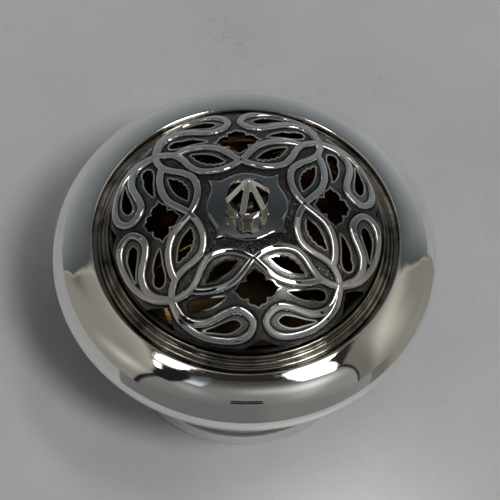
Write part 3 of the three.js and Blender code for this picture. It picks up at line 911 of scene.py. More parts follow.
class PotSizes(bpy.types.PropertyGroup):
    """Sizes of the chased and cast details, which lie on the CAD model's surfaces."""

    bowl_wall: length("Bowl wall", "Thickness of the bowl's sheet", 0.0009)
    lid_wall: length("Lid wall", "Thickness of the pierced sheet", 0.0012)
    strap_width: length("Strap width", "Width of the raised straps", 0.0020)
    strap_rise: length("Strap rise", "Crest of the straps above the dome", 0.00065)
    lip_width: length("Lip width", "Width of the raised lip round each hole", 0.0005)
    lip_rise: length("Lip rise", "Crest of that lip above the dome", 0.00018)
    leaves: bpy.props.IntProperty(
        name="Leaves", description="Leaves of the calyx under the bud", default=6)
    ribs: bpy.props.IntProperty(name="Ribs", description="Ribs of the bud", default=6)
    finial_turn: bpy.props.FloatProperty(
        name="Finial turn", description="From +X to the bud's first rib",
        default=math.radians(9.7), subtype="ANGLE")


class PotFinishes(bpy.types.PropertyGroup):
    """Colours of the metals and the stage."""

    silver: tint("Silver", "Polished silver", (0.93, 0.92, 0.89))
    oxide: tint("Oxidised silver", "The darkened ground of the chasing", (0.030, 0.027, 0.026))
    gilt: tint("Gilt", "The bowl's gilt inside", (0.40, 0.27, 0.11))
    plate: tint("Crown plate", "Smooth bluish silver of the crown plate", (0.62, 0.66, 0.68))
    cast: tint("Cast silver", "Warm silver of the finial", (0.86, 0.82, 0.72))
    floor: tint("Floor", "Pale floor", (0.30, 0.302, 0.309))


# Pieces -----------------------------------------------------------------------------------


def shell_line(wall):
    """The bowl's outside from its bottom up to the mouth, as [radius, height] points."""
    waist = FOOT_HEIGHT + WAIST_RISE
    roll_foot = RIM_HEIGHT - RIM_UNDER
    corner = ellipse_arc(
        (FLOOR_RADIUS, waist), (WAIST_RADIUS - FLOOR_RADIUS, WAIST_RISE), 270, 360, 8)
    wall_line = bezier((
        (WAIST_RADIUS, waist), (WAIST_RADIUS + 0.5, waist + WAIST_UPRIGHT),
        (NECK_RADIUS - 1, roll_foot - NECK_UPRIGHT),
        (NECK_RADIUS, roll_foot - NECK_RISE),
    ), 36)
    under = ellipse_arc(
        (RIM_RADIUS - RIM_UNDER, RIM_HEIGHT), (RIM_UNDER, RIM_UNDER), 270, 360, 30)
    neck = bezier((wall_line[-1], wall_line[-1] + [0.1, 0.9], under[0] - [0.7, 0], under[0]), 6)
    stop = math.degrees(math.acos(wall / 2 / (RIM_RADIUS - MOUTH_RADIUS)))
    shoulder = ellipse_arc(
        (MOUTH_RADIUS, RIM_HEIGHT),
        (RIM_RADIUS - MOUTH_RADIUS, MOUTH_HEIGHT - RIM_HEIGHT), 0, stop, 56)
    return np.vstack([corner, wall_line[1:], neck[1:-1], under, shoulder[1:]])


def offset_inwards(line, distance):
    """The line moved sideways by a distance, towards the bowl's inside."""
    along = np.gradient(line, axis=0)
    along /= np.linalg.norm(along, axis=1)[:, None]
    return line + np.stack([-along[:, 1], along[:, 0]], 1) * distance


class POT_OT_bowl(bpy.types.Operator):
    """Makes the bowl's shell, silver outside and gilt inside."""

    bl_idname = "pot.bowl"
    bl_label = "Bowl"

    def execute(self, context):
        wall = context.scene.pot_sizes.bowl_wall / MM
        outer = shell_line(wall)
        inner = offset_inwards(outer, wall)[::-1]
        inner[-1] = (FLOOR_RADIUS, FOOT_HEIGHT + wall)
        lip = ellipse_arc(
            (MOUTH_RADIUS + wall / 2, MOUTH_HEIGHT - wall / 2), (wall / 2, wall / 2), 90, 270, 8)
        profile = np.vstack([
            [[0, FOOT_HEIGHT]], outer, lip[1:], inner[1:], [[0, FOOT_HEIGHT + wall]],
        ])
        silver_sides = 1 + len(outer) + len(lip)
        finishes = [0 if k < silver_sides else 1 for k in range(len(profile))]
        points, faces, marks = turned(profile, finishes=finishes)
        height = np.array(points)[:, 2]
        # Painted shade: the outside darkens below the rim's roll, and most towards the foot, where
        # the wall is shaded and mirrors the shaded floor.
        painted_shade = np.maximum(
            0.9 * smoothstep(*FOOT_SHADE_HEIGHTS, height), 0.55 * smoothstep(*ROLL_SHADE_HEIGHTS, height))
        bowl = mesh_object(
            "silver_bowl", points, faces, [finish_of("polished"), finish_of("gilt")], marks,
            values={"patina_and_shade": painted_shade})
        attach(bowl, "bowl")
        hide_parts("body_shell")
        return {"FINISHED"}


class POT_OT_foot(bpy.types.Operator):
    """Makes the low foot and the seat that the lid drops into."""

    bl_idname = "pot.foot_and_seat"
    bl_label = "Foot and seat"

    def execute(self, context):
        edge, reach = FOOT_EDGE, (FOOT_EDGE, FOOT_EDGE)
        band = bezier((
            (FOOT_RADIUS, edge), (FOOT_RADIUS - FOOT_WAIST, FOOT_HEIGHT * 0.33),
            (FOOT_TOP_RADIUS - FOOT_WAIST, FOOT_HEIGHT * 0.66),
            (FOOT_TOP_RADIUS, FOOT_HEIGHT - edge),
        ), 12)
        inner, flange = FOOT_RADIUS - FOOT_WALL, FOOT_HEIGHT - FOOT_FLANGE
        profile = np.vstack([
            [[inner + 0.3, 0], [FOOT_RADIUS - 0.3, 0]],
            ellipse_arc((FOOT_RADIUS - edge, edge), reach, 270, 360, 4)[1:],
            band[1:],
            ellipse_arc((FOOT_TOP_RADIUS - edge, FOOT_HEIGHT - edge), reach, 0, 90, 4)[1:],
            [[FOOT_FLANGE_RADIUS, FOOT_HEIGHT], [FOOT_FLANGE_RADIUS, flange],
             [inner - 0.4, flange], [inner, flange - 0.4], [inner, 0.3]],
        ])
        points, faces, _ = turned(profile)
        foot = mesh_object("foot_band", points, faces, [finish_of("polished")],
                           values={"soft": [1.0] * len(points)})
        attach(foot, "bowl")
        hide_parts("foot_ring")

        collar_top = SEAT_HIGH[2]
        collar = SEAT_OUTER - SEAT_COLLAR_WALL
        bottom = SEAT_HEIGHT - SEAT_THICKNESS
        profile = softened([
            (SEAT_BORE, bottom), (SEAT_OUTER, bottom), (SEAT_OUTER, collar_top),
            (collar, collar_top), (collar, SEAT_HEIGHT), (SEAT_BORE, SEAT_HEIGHT),
        ], 0.25)
        points, faces, _ = turned(profile)
        seat = mesh_object("lid_seat", points, faces, [finish_of("moulding")])
        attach(seat, "bowl")
        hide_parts("seat_ring")
        return {"FINISHED"}


class POT_OT_dome(bpy.types.Operator):
    """Makes the pierced and domed sheet of the lid."""

    bl_idname = "pot.pierced_dome"
    bl_label = "Pierced dome"

    def execute(self, context):
        wall = context.scene.pot_sizes.lid_wall / MM
        plan, tris = wedge_sheet()
        dark, stipple = sheet_finish(plan)
        sides = np.sort(tris[:, [0, 1, 1, 2, 2, 0]].reshape(-1, 2), axis=1)
        unique, counts = np.unique(sides, axis=0, return_counts=True)
        rims = {tuple(edge) for edge in unique[counts == 1].tolist()}
        x, y = plan.T
        seam_x, seam_diagonal = np.abs(y) < 1e-4, np.abs(x - y) < 1e-4
        walls = []
        count = len(plan)
        for tri in tris.tolist():
            for a, b in zip(tri, tri[1:] + tri[:1]):
                on_seam = (seam_x[a] and seam_x[b]) or (seam_diagonal[a] and seam_diagonal[b])
                if (min(a, b), max(a, b)) in rims and not on_seam:
                    walls.append((a, a + count, b))
                    walls.append((b, a + count, b + count))
        top, bottom = on_dome(plan, 0.0), on_dome(plan, -wall)
        top[:, 2] = np.minimum(top[:, 2], PLATE_TOP - 0.65)
        faces = np.vstack([tris, tris[:, ::-1] + count, np.array(walls)])
        points = np.vstack([top, bottom])
        values = {
            "patina_and_shade": np.concatenate([dark, np.ones(count)]),
            "stipple": np.concatenate([stipple, np.zeros(count)]),
        }
        points, faces, values = all_around(points, faces, values)
        points, faces, first = weld(points, faces)
        values = {key: data[first] for key, data in values.items()}
        dome = mesh_object(
            "pierced_dome", points, faces.tolist(), [finish_of("chased")], values=values)
        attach(dome, "lid")
        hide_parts("lid_dome")
        return {"FINISHED"}


class POT_OT_straps(bpy.types.Operator):
    """Makes the raised straps, and the thin lips round the pierced holes."""

    bl_idname = "pot.strapwork"
    bl_label = "Strapwork and lips"

    def execute(self, context):
        sizes = context.scene.pot_sizes
        tree, outlines = strap_tree(), piercings()
        quatrefoil = outlines[3][0]
        strap = (sizes.strap_width, sizes.strap_rise, *STRAP_SHAPE)
        lip = (sizes.lip_width, sizes.lip_rise, *LIP_SHAPE)
        for name, lines, closed, shape in (
            ("dome_strapwork", [INNER_LOOP, OUTER_LOOP, PAISLEY], False, strap),
            ("hole_lips_rings", [line for line, whole in outlines if whole], True, lip),
            ("hole_lips_arms", [quatrefoil], False, lip),
        ):
            width, rise, depth, step, sides, dark_below, bend, least = shape
            base = line_object(name + "_lines", lines, closed)
            piece = evaluated(name, base, tree, {
                "Half Width": width / 2, "Crest": rise, "Depth": depth * MM, "Step": step * MM,
                "Sides": sides, "Lobes": LOBES, "Closed": closed, "Smooth": shape is strap,
                "Material": finish_of("chased"),
            })
            wrap_on_dome(piece, rise / MM, depth, dark_below, bend, least)
            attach(piece, "lid")
        return {"FINISHED"}


class POT_OT_border(bpy.types.Operator):
    """Makes the reeded border round the lid, and the ring under it."""

    bl_idname = "pot.reeded_border"
    bl_label = "Border and bezel"

    def execute(self, context):
        inner, flange = DOME_WALL_RADIUS + 0.1, BEZEL_RADIUS - BEZEL_WALL
        low, middle, top = (
            ellipse_arc(place, (radius, radius), *span) for place, radius, *span in REEDS)
        profile = np.vstack([
            [[flange, SEAT_HEIGHT], [BORDER_RADIUS, SEAT_HEIGHT]], low, middle,
            bezier(REED_HOLLOW, 6)[1:], top,
            [[inner, REEDS[2][0][1]], [inner, DOME_FOOT], [flange, DOME_FOOT]],
        ])
        points, faces, _ = turned(profile)
        border = mesh_object("reeded_border", points, faces, [finish_of("moulding")])
        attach(border, "lid")
        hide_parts("lid_border")

        profile = softened([
            (flange, BEZEL_LOW[2]), (BEZEL_RADIUS, BEZEL_LOW[2]),
            (BEZEL_RADIUS, SEAT_HEIGHT), (flange, SEAT_HEIGHT),
        ], 0.3)
        points, faces, _ = turned(profile)
        bezel = mesh_object("bezel_collar", points, faces, [finish_of("polished")])
        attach(bezel, "lid")
        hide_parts("lid_bezel")
        return {"FINISHED"}


def plate_outline(steps):
    """The crown plate's ogee-sided outline, counterclockwise from +X."""
    side = catmull_rom(PLATE_SIDE, 8.9 / steps)
    quarter = np.vstack([side, side[::-1, ::-1][1:]])
    run = []
    for k in range(4):
        a = k * math.pi / 2
        c, s = math.cos(a), math.sin(a)
        run.append(quarter[:-1] @ np.array([[c, s], [-s, c]]))
    return np.vstack(run) * [PLATE_WIDER, 1.0]


class POT_OT_plate(bpy.types.Operator):
    """Makes the ogee-sided plate on the crown, with its rounded edge."""

    bl_idname = "pot.crown_plate"
    bl_label = "Crown plate"

    def execute(self, context):
        outline = plate_outline(40)
        edge = evenly(np.vstack([outline, outline[:1]]), 0.3)[:-1]
        reach = np.linalg.norm(edge, axis=1)[:, None]
        facing = edge / reach
        rows = [(facing * STUD_HOLE, PLATE_TOP)]
        for share in np.linspace(0.15, 0.85, 6):
            rows.append((facing * (STUD_HOLE + (reach - STUD_HOLE) * share), PLATE_TOP))
        rows += [(edge - facing * inset, PLATE_TOP - drop) for inset, drop in PLATE_EDGE]
        bottom = PLATE_TOP - PLATE_THICKNESS
        rows += [(edge - facing * 0.02, bottom), (facing * STUD_HOLE, bottom)]
        points = np.vstack([np.column_stack([row, np.full(len(row), z)]) for row, z in rows])
        faces = grid_faces(len(rows), len(edge), rows_close=True, columns_close=True)
        # Painted shade: the plate's colour darkens towards its front and left, standing in for the
        # darker surroundings it mirrors there.
        dark = 0.85 * smoothstep(9, -7, points[:, 1] + 0.3 * points[:, 0])
        plate = mesh_object(
            "cut_card_plate", points, faces, [finish_of("plate")], sharp=50,
            values={"patina_and_shade": dark, "stipple": 0.0 * dark})
        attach(plate, "lid")
        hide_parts("crown_plate")
        return {"FINISHED"}


def leaf_base():
    """One leaf with its share of the middle, in millimetres: points, faces and patina."""
    across = 13
    half_step = math.pi / 6
    neck = LEAF_NOTCH * math.sin(half_step)
    top, bottom, dark = [], [], []
    for r in LEAF_STATIONS:
        for u in np.linspace(-1, 1, across):
            if r <= LEAF_NOTCH:
                x, y = r * math.cos(u * half_step), r * math.sin(u * half_step)
            else:
                half = neck + (LEAF_HALF - neck) * min(1.0, (r - LEAF_NOTCH) / 1.2)
                parted = max(0.0, (r - LEAF_FORK_FROM) / LEAF_FORK_LENGTH)
                fork = LEAF_FORK_DEPTH * (1 - abs(u)) ** 1.3 * parted
                start = LEAF_NOTCH * math.cos(u * half_step)
                out = (r - fork - LEAF_NOTCH) * (LEAF_REACH - start) / (LEAF_REACH - LEAF_NOTCH)
                x, y = start + out, u * half
            lift = LEAF_RISE * max(0.0, (r - LEAF_RISE_FROM) / 2.0) ** 1.6
            top.append((x, y, PLATE_TOP + LEAF_THICKNESS + lift))
            bottom.append((x, y, PLATE_TOP + min(lift, LEAF_RISE)))
            dark.append(0.0 if abs(u) > 0.8 or r > 7.9 else 0.6)
    count, rows = len(top), len(LEAF_STATIONS)
    faces = grid_faces(rows, across)
    faces += [tuple(count + v for v in (a, d, c, b)) for a, b, c, d in faces]
    for j in range(LEAF_STATIONS.index(LEAF_NOTCH), rows - 1):
        a, b = j * across, (j + 1) * across
        faces.append((a, a + count, b + count, b))
        a, b = a + across - 1, b + across - 1
        faces.append((a, b, b + count, a + count))
    last = (rows - 1) * across
    for i in range(across - 1):
        faces.append((last + i, last + i + count, last + i + 1 + count, last + i + 1))
        faces.append((i, i + 1, i + 1 + count, i + count))
    return top + bottom, faces, dark + [1.0] * count


class POT_OT_calyx(bpy.types.Operator):
    """Makes the star of leaves under the bud."""

    bl_idname = "pot.leaf_calyx"
    bl_label = "Calyx"

    def execute(self, context):
        sizes = context.scene.pot_sizes
        points, faces, dark = leaf_base()
        base = mesh_object("calyx_leaf", points, faces, [finish_of("cast")],
                           values={"patina_and_shade": dark, "stipple": [0.0] * len(dark)})
        calyx = evaluated("leaf_calyx", base, leaf_tree(), {
            "Leaves": sizes.leaves, "Phase": sizes.finial_turn + LEAF_TURN,
            "Material": finish_of("cast"),
        })
        flat = coordinates(calyx.data)
        reach = np.hypot(flat[:, 0], flat[:, 1])
        turn = np.degrees(np.arctan2(flat[:, 1], flat[:, 0])) + LONG_LEAF
        turn = (turn + 180) % 360 - 180
        worn = np.where(np.abs(turn) < 30, 0.0, np.where(np.abs(turn + 60) < 30, 0.7, 0.97))
        short = 1 - worn * np.clip(1 - HIDDEN_RADIUS * MM / reach, 0, 1)
        flat[:, :2] *= short[:, None]
        calyx.data.vertices.foreach_set("co", flat.reshape(-1))
        smooth(calyx.data, 40)
        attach(calyx, "lid")
        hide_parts("finial_calyx")
        return {"FINISHED"}


def bud_levels(base, ledge, peak):
    """The bud from its foot up: radius and height of its ribs, and of the hollows between."""
    levels = []
    for t in np.linspace(0, 1, 12):
        radius = BUD_CUP_FOOT + (BUD_CUP - BUD_CUP_FOOT) * math.sin(t * math.pi / 2) ** 0.6
        height = base + (ledge - 0.75 - base) * t
        levels.append((radius, height, radius, height))
    levels += [(rib, ledge + a, hollow, ledge + b) for rib, a, hollow, b in BUD_LEDGE]
    foot, top = ledge + BUD_ENDS[0], peak - BUD_ENDS[1]
    for t in np.linspace(0, 1, 20):
        radius = BUD_TIP + (BUD_FOOT - BUD_TIP) * (1 - t) ** 0.96
        share = 0.42 + 0.58 * float(smoothstep(0.42, 0.76, t))
        height = foot + (top - foot) * t
        levels.append((radius, height, radius * share, height))
    return levels + [(radius, peak - drop, radius, peak - drop) for radius, drop in BUD_POINT]


def rib_section(half, sector, edge):
    """One rib and its share of the hollows across: angles, and how deep each lies, from 0 on
    the rib to 1 in the hollow. edge sinks the rib's middle a little."""
    free = sector - half
    side = (
        (half * 0.35, 0.0), (half * 0.62, edge), (half * 0.86, edge), (half, 0.0),
        (half + free * 0.03, 0.35), (half + free * 0.06, 0.7), (half + free * 0.1, 1.0),
        (half + free * 0.4, 1.0), (half + free * 0.75, 1.0),
    )
    return ([(-a, d) for a, d in side[::-1]] + [(0.0, -edge * 0.4)] + list(side)
            + [(sector, 1.0)])


class POT_OT_bud(bpy.types.Operator):
    """Makes the ribbed bud of the finial."""

    bl_idname = "pot.ribbed_bud"
    bl_label = "Bud"

    def execute(self, context):
        sizes = context.scene.pot_sizes
        base, peak = PLATE_TOP + 0.15, BUD_HIGH[2]
        ledge = BUD_LOW[2] + BUD_CUP_HEIGHT
        levels = bud_levels(base, ledge, peak)
        points, dark = [], []
        sector = math.pi / sizes.ribs
        for rib, rib_height, hollow, height in levels:
            half = min(RIB_HALF / rib, sector * 0.66)
            deep = rib - hollow
            section = rib_section(half, sector, 0.06 * min(1.0, deep))
            in_hollows = height > ledge - 0.1 or hollow < 5.0
            for k in range(sizes.ribs):
                middle = sizes.finial_turn + 2 * sector * k
                for angle, drop in section:
                    inwards = abs(angle) > half * 1.001
                    r = rib - deep * drop if inwards else rib + drop
                    z = rib_height + (height - rib_height) * (drop if inwards else 0.0)
                    points.append((r * math.cos(middle + angle), r * math.sin(middle + angle), z))
                    dark.append(float(smoothstep(0.18, 0.5, rib - r)) if in_hollows else 0.12)
        width = len(points) // len(levels)
        top_row = (len(levels) - 1) * width
        grid = grid_faces(len(levels), width, columns_close=True)
        faces = [(a, d, c, b) for a, b, c, d in grid]
        points += [(0, 0, peak), (0, 0, base)]
        dark += [0.0, 1.0]
        for i in range(width):
            n = (i + 1) % width
            faces.append((top_row + i, top_row + n, len(points) - 2))
            faces.append((n, i, len(points) - 1))
        bud = mesh_object("ribbed_bud", points, faces, [finish_of("cast")], sharp=38,
                          values={"patina_and_shade": dark, "stipple": [0.0] * len(dark)})
        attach(bud, "lid")
        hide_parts("finial_bud")
        for name in ("finial_stud", "stud_washer", "stud_nut"):
            node = frame["nodes"][name]
            node.data.materials.clear()
            node.data.materials.append(finish_of("steel"))
        return {"FINISHED"}


# Stage ------------------------------------------------------------------------------------

TENT_RADIUS = 2.6
TENT_MIDDLE = 0.045
CAMERA_TURN = math.radians(-8.8)
CAMERA_DISTANCE = 0.9
CAMERA_RISE = math.radians(59.5)
CAMERA_ROLL = math.radians(2.8)
CAMERA_TARGET = (0.0012, 0.0, 0.04895)
CAMERA_LENS = 250.0
SUNS = (                        # name, azimuth, rise and spread in degrees, strength
    ("key_light", -54, 61, 11, 2.0), ("fill_light", -105, 42, 60, 0.95),
)
# Light that the surroundings throw on the foot: place, strength and radius
BOUNCE, BOUNCE_STRENGTH, BOUNCE_RADIUS = Vector((0.028, -0.056, 0.032)), 0.042, 0.02

# The light tent is drawn on a map of the sky seen from the pot: degrees from straight overhead,
# x to the camera's right and y away from the camera. The horizon is the circle at 90.
WARM, PLAIN, COOL = (1.0, 0.97, 0.86), (1.0, 1.0, 0.99), (0.88, 0.95, 1.0)
TENT_PEAK = (0.0, 29.7)
WALL_FOOT = 112.0
BACK_LEFT = (TENT_PEAK, (-26.0, 23.2), (-46.4, 19.5), (-61.3, 17.6), (-108.0, 31.0))
BACK_RIGHT = (TENT_PEAK, (16.7, 26.9), (39.0, 26.9), (53.9, 29.7), (100.0, 51.0))
SLIT_LEFT = (TENT_PEAK, (-5.2, 24.6), (-16.5, 3.7), (-31.0, -26.2), (-80.0, -68.8))
SLIT_RIGHT = (TENT_PEAK, (9.3, 21.4), (16.9, 11.1), (28.2, -7.4), (92.0, -63.0))
BACK = BACK_LEFT[::-1] + BACK_RIGHT[1:]
EDGE_WIDTH = 0.7                # pale edge along the panels' tops
SEAM_HALF = 0.95                # dark seam between the panels
FRONT_TOP = (
    (-29.5, -27.8), (-14.0, -10.0), (-7.0, 0.0), (0.0, 4.0), (6.0, 2.0), (14.0, -6.0), (28.2, -9.0),
)


def horizon(start, end, count):
    """Points a little under the horizon, between two directions in degrees."""
    a = np.radians(np.linspace(start, end, count))
    return [(97 * math.cos(t), 97 * math.sin(t)) for t in a]


def moved(line, x, y):
    """The line moved across the map."""
    return [(p[0] + x, p[1] + y) for p in line]


def spot(x, y, centre, reach):
    """A soft patch of light: 1 in its middle."""
    return math.exp(-((x - centre[0]) / reach[0]) ** 2 - ((y - centre[1]) / reach[1]) ** 2)


def line_at(line, key, axis=0):
    """The other map coordinate of a line at the given one."""
    points = sorted((p[axis], p[1 - axis]) for p in line)
    return float(np.interp(key, [p[0] for p in points], [p[1] for p in points]))


def lit_card(name, points, faces, colour, strengths):
    """A glowing card that lights the pot and shows in it, but not in the picture."""
    card = mesh_object(
        name, points, faces, [glow_finish(name, colour)], values={"glow": strengths})
    card.visible_camera = False
    card.visible_shadow = False
    return card


def sky_card(name, one_side, other_side, colour, glow, share):
    """A lit card between two lines on the map of the sky, at a share of the tent's radius.
    glow gives its strength from the place across it, 0 to 1, and its map coordinates."""
    count = 1 + 8 * (len(one_side) - 1)
    knots = np.linspace(0, 1, len(one_side))
    at = np.linspace(0, 1, count)
    near, far = (
        np.stack([np.interp(at, knots, [p[k] for p in side]) for k in (0, 1)], 1)
        for side in (one_side, other_side)
    )
    steps, radius = 28, TENT_RADIUS * share
    points, strengths = [], []
    for j in range(steps + 1):
        t = j / steps
        for x, y in near * (1 - t) + far * t:
            away = math.radians(math.hypot(x, y))
            turn = math.atan2(y, x) + CAMERA_TURN
            points.append((
                radius * math.sin(away) * math.cos(turn),
                radius * math.sin(away) * math.sin(turn),
                TENT_MIDDLE + radius * math.cos(away)))
            strengths.append(glow(t, x, y))
    lit_card(name, np.array(points) / MM, grid_faces(steps + 1, count), colour, strengths)


def low_card(name, start, end, colour, glow):
    """The foot of the tent's wall, which stands close to the pot: below the horizon of the
    map, between two directions in degrees."""
    points, faces, strengths = [], [], []
    steps = 24
    for k in range(steps + 1):
        a = math.radians(start + (end - start) * k / steps)
        out = (WALL_FOOT * math.cos(a + CAMERA_TURN), WALL_FOOT * math.sin(a + CAMERA_TURN))
        for height in (0.2, RIM_HEIGHT + 6):
            points.append((*out, height))
            strengths.append(glow(1.0, 88 * math.cos(a), 88 * math.sin(a)))
        if k:
            faces.append((2 * k - 2, 2 * k, 2 * k + 1, 2 * k - 1))
    lit_card(name, points, faces, colour, strengths).visible_diffuse = False


def even(strength):
    """The same strength all over a card."""
    return lambda t, x, y: strength


def back_glow(t, x, y):
    """The room behind the tent: dark just above the tent's edge, paler lower down."""
    above = max(0.0, y - line_at(BACK, x))
    return (0.058 + (0.22 + 0.10 * float(smoothstep(5, 40, x))) * (1 - math.exp(-above / 24))
            + 0.05 * float(smoothstep(60, 88, math.hypot(x, y))))


def left_glow(t, x, y):
    """Left panel of the tent: paler beside the slit, with a warm patch low down."""
    beside = max(0.0, line_at(SLIT_LEFT, y, 1) - x)
    return (0.230 + 0.15 * math.exp(-beside / 5) * float(smoothstep(-24, -12, y))
            + 0.30 * spot(x, y, (-47, -25), (12, 9)) + 0.06 * spot(x, y, (-62, -19), (10, 6))
            - 0.1 * spot(x, y, (-53, 17), (14, 5)))


def right_glow(t, x, y):
    """Right panel of the tent: a dark fold beside the slit, then a pale one."""
    along, across = 0.75 * (x - 36) - 0.66 * (y - 6), 0.66 * (x - 36) + 0.75 * (y - 6)
    width = 4.5 if across < 0 else 10 + 0.4 * max(0.0, along)
    crest = math.exp(-(along / 38) ** 2 - (across / width) ** 2)
    return 0.150 + 0.060 * float(smoothstep(-9, 2, across)) + 0.30 * crest


def front_glow(t, x, y):
    """The front panel: dark towards its top, with the lamp's soft patch at its right."""
    base = 0.155 + 0.055 * float(smoothstep(5, 35, x)) + 0.03 * float(smoothstep(-62, -40, y))
    base *= 1 - 0.72 * float(smoothstep(-26, 0, y)) - 0.12 * float(smoothstep(-56, -68, y))
    return (base + 0.60 * spot(x, y, (25, -25), (10, 9)) + 0.13 * spot(x, y, (31, -42), (8, 10))
            + 0.17 * spot(x, y, (8, -23), (8, 7)) + 0.13 * spot(x, y, (-19, -34), (6, 9)))


def lamp_right(t, x, y):
    """The opening that the right lamp shows through: it fades at both ends."""
    return 0.45 + 10.5 * float(smoothstep(21, 16, y)) * float(smoothstep(-12.5, -4, y))


def lamp_left(t, x, y):
    """The same for the left lamp."""
    return 0.4 + 6.5 * float(smoothstep(22, 16, y)) * float(smoothstep(2, 8, y))


def cool_glow(t, x, y):
    """Cool daylight in the slit between the front panel and the left one."""
    return 0.10 + 0.60 * spot(x, y, (-12, -19), (6, 9))


def slot_glow(t, x, y):
    """A dark slot with a thin light line along its middle."""
    return 0.008 if t < 0.4 or t > 0.6 else 0.1


# Name, its two sides, colour, glow, and radius as a share of the tent's
CARDS = (
    ("tent_outside", horizon(0, 360, 13), [(0.0, 0.0)] * 13, (1.0, 0.9, 0.8), even(0.022), 1.06),
    ("tent_back", BACK, horizon(164, 27, len(BACK)), COOL, back_glow, 1.03),
    ("tent_left", BACK_LEFT, SLIT_LEFT, WARM, left_glow, 1.0),
    ("tent_right", BACK_RIGHT, SLIT_RIGHT, WARM, right_glow, 1.0),
    ("tent_front", FRONT_TOP, horizon(222.8, 327.1, len(FRONT_TOP)), PLAIN, front_glow, 1.0),
    ("light_right", (TENT_PEAK, (7.9, 19.6), (12.0, 10.0), (20.3, 0.3), (28.5, -12.5)),
     (TENT_PEAK, (4.2, 18.5), (5.6, 12.0), (9.5, 1.0), (17.0, -12.5)), PLAIN, lamp_right, 0.99),
    ("light_left", (TENT_PEAK, (-3.4, 23.7), (-8.3, 15.5), (-13.4, 7.2), (-17.5, 0.3)),
     (TENT_PEAK, (-0.6, 24.5), (-4.8, 16.8), (-7.2, 9.8), (-12.5, 0.8)), PLAIN, lamp_left, 0.99),
    ("light_low_left", ((-17.5, 0.3), (-22.5, -10.0)), ((-16.2, 0.0), (-21.3, -10.6)), PLAIN,
     even(5.0), 0.98),
    ("gap_left", ((-15.0, -1.0), (-21.3, -10.5), (-28.5, -18.9), (-33.5, -28.5)),
     ((-9.5, -2.0), (-12.5, -12.0), (-17.5, -21.0), (-25.5, -30.5)), PLAIN, even(0.012), 0.985),
    ("slit_cool", ((-9.5, -2.0), (-12.5, -12.0), (-17.5, -21.0)),
     ((-4.0, 6.0), (-6.5, -8.0), (-11.5, -22.0)), COOL, cool_glow, 0.98),
    ("front_slot", ((-3.3, -48.9), (10.6, -47.9)), ((-3.9, -57.9), (12.8, -56.5)), PLAIN,
     slot_glow, 0.98),
    ("edge_left", BACK_LEFT, moved(BACK_LEFT, 0, EDGE_WIDTH), WARM, even(0.42), 0.972),
    ("edge_right", BACK_RIGHT, moved(BACK_RIGHT, 0, EDGE_WIDTH), WARM, even(0.42), 0.972),
    ("seam_left", moved(SLIT_LEFT[3:], -SEAM_HALF, 0), moved(SLIT_LEFT[3:], SEAM_HALF, 0), PLAIN,
     even(0.004), 0.975),
    ("seam_right", moved(SLIT_RIGHT[3:], -SEAM_HALF, 0), moved(SLIT_RIGHT[3:], SEAM_HALF, 0),
     PLAIN, even(0.004), 0.975),
)


def make_lamp(name, kind, energy):
    """A lamp that mirrors don't show."""
    data = bpy.data.lights.new(name, kind)
    data.energy = energy
    lamp = placed(name, data)
    lamp.visible_glossy = False
    return lamp


def make_lamps():
    """Two suns, and a small soft lamp for the light thrown back on the foot."""
    for name, azimuth, rise, spread, strength in SUNS:
        sun = make_lamp(name, "SUN", strength)
        sun.data.angle = math.radians(spread)
        turn, up = math.radians(azimuth) + CAMERA_TURN, math.radians(rise)
        place = Vector((
            math.cos(turn) * math.cos(up), math.sin(turn) * math.cos(up), math.sin(up)))
        sun.rotation_euler = place.to_track_quat("Z", "Y").to_euler()
    bounce = make_lamp("wall_bounce", "POINT", BOUNCE_STRENGTH)
    bounce.data.shadow_soft_size = BOUNCE_RADIUS
    bounce.location = Matrix.Rotation(CAMERA_TURN, 4, "Z") @ BOUNCE


def make_world(scene):
    """A dim studio that looks pale to the camera and in mirrors."""
    world = bpy.data.worlds.new("studio")
    scene.world = world
    world.use_nodes = True
    tree = Nodes(world.node_tree)
    path = tree.add("ShaderNodeLightPath")
    seen = path.outputs["Is Camera Ray"]
    for label in ("Is Glossy Ray", "Is Transmission Ray"):
        seen = tree.math("MAXIMUM", seen, path.outputs[label])
    background = tree.nodes["Background"].inputs
    tree.feed(background["Color"], tree.mix(seen, (0.04, 0.04, 0.04), (0.42, 0.42, 0.43)))
    background["Strength"].default_value = 1.0


def make_camera(scene):
    """A long lens that looks down on the pot, a little turned and rolled."""
    data = bpy.data.cameras.new("camera")
    data.lens, data.sensor_width = CAMERA_LENS, 36.0
    data.clip_start, data.clip_end = 0.05, 20.0
    scene.camera = placed("camera", data)
    right = Vector((1, 0, 0))
    up = Vector((0, math.sin(CAMERA_RISE), math.cos(CAMERA_RISE)))
    back = Vector((0, -math.cos(CAMERA_RISE), math.sin(CAMERA_RISE)))
    c, s = math.cos(CAMERA_ROLL), math.sin(CAMERA_ROLL)
    columns = (right * c + up * s, up * c - right * s, back,
               Vector(CAMERA_TARGET) + back * CAMERA_DISTANCE)
    pose = Matrix([[column[k] for column in columns] for k in range(3)] + [[0, 0, 0, 1]])
    scene.camera.matrix_world = Matrix.Rotation(CAMERA_TURN, 4, "Z") @ pose


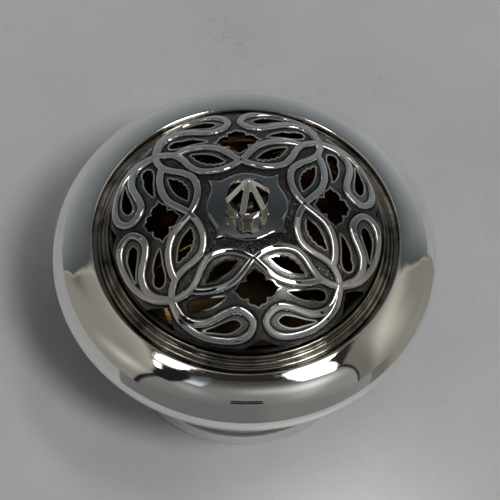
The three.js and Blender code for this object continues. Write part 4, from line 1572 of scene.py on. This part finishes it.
class POT_OT_stage(bpy.types.Operator):
    """Sets the pale floor, the light tent round the pot, the lamps and the camera."""

    bl_idname = "pot.stage"
    bl_label = "Stage"

    def execute(self, context):
        scene = context.scene
        reach, low = 3200, -0.05
        corners = ((-reach, -reach), (reach, -reach), (reach, reach), (-reach, reach))
        floor = mesh_object(
            "stage_floor", [(x, y, low) for x, y in corners], [(0, 1, 2, 3)],
            [floor_finish("stage_floor", tuple(scene.pot_finishes.floor))])
        for card in CARDS:
            sky_card(*card)
        low_card("low_front", 220.7, 325.6, PLAIN, front_glow)
        low_card("low_right", 325.6, 378.0, WARM, right_glow)
        make_lamps()
        make_world(scene)
        make_camera(scene)
        scene.view_settings.view_transform = "Standard"
        return {"FINISHED"}


OPERATORS = (
    POT_OT_stage, POT_OT_bowl, POT_OT_foot, POT_OT_dome, POT_OT_straps, POT_OT_border,
    POT_OT_plate, POT_OT_calyx, POT_OT_bud,
)


class POT_PT_panel(bpy.types.Panel):
    """Lists the steps that build the pot, and its settings."""

    bl_idname = "POT_PT_panel"
    bl_label = "Potpourri pot"
    bl_space_type = "VIEW_3D"
    bl_region_type = "UI"
    bl_category = "Potpourri pot"

    def draw(self, context):
        for operator in OPERATORS:
            self.layout.operator(operator.bl_idname)
        for group in (context.scene.pot_sizes, context.scene.pot_finishes):
            box = self.layout.box()
            for key in group.__annotations__:
                box.prop(group, key)


CLASSES = (PotSizes, PotFinishes) + OPERATORS + (POT_PT_panel,)


def register():
    for cls in CLASSES:
        bpy.utils.register_class(cls)
    bpy.types.Scene.pot_sizes = bpy.props.PointerProperty(type=PotSizes)
    bpy.types.Scene.pot_finishes = bpy.props.PointerProperty(type=PotFinishes)


def unregister():
    del bpy.types.Scene.pot_finishes
    del bpy.types.Scene.pot_sizes
    for cls in reversed(CLASSES):
        bpy.utils.unregister_class(cls)


def main():
    register()
    for operator in OPERATORS:
        group, action = operator.bl_idname.split(".")
        getattr(getattr(bpy.ops, group), action)()


if __name__ == "__main__":
    main()
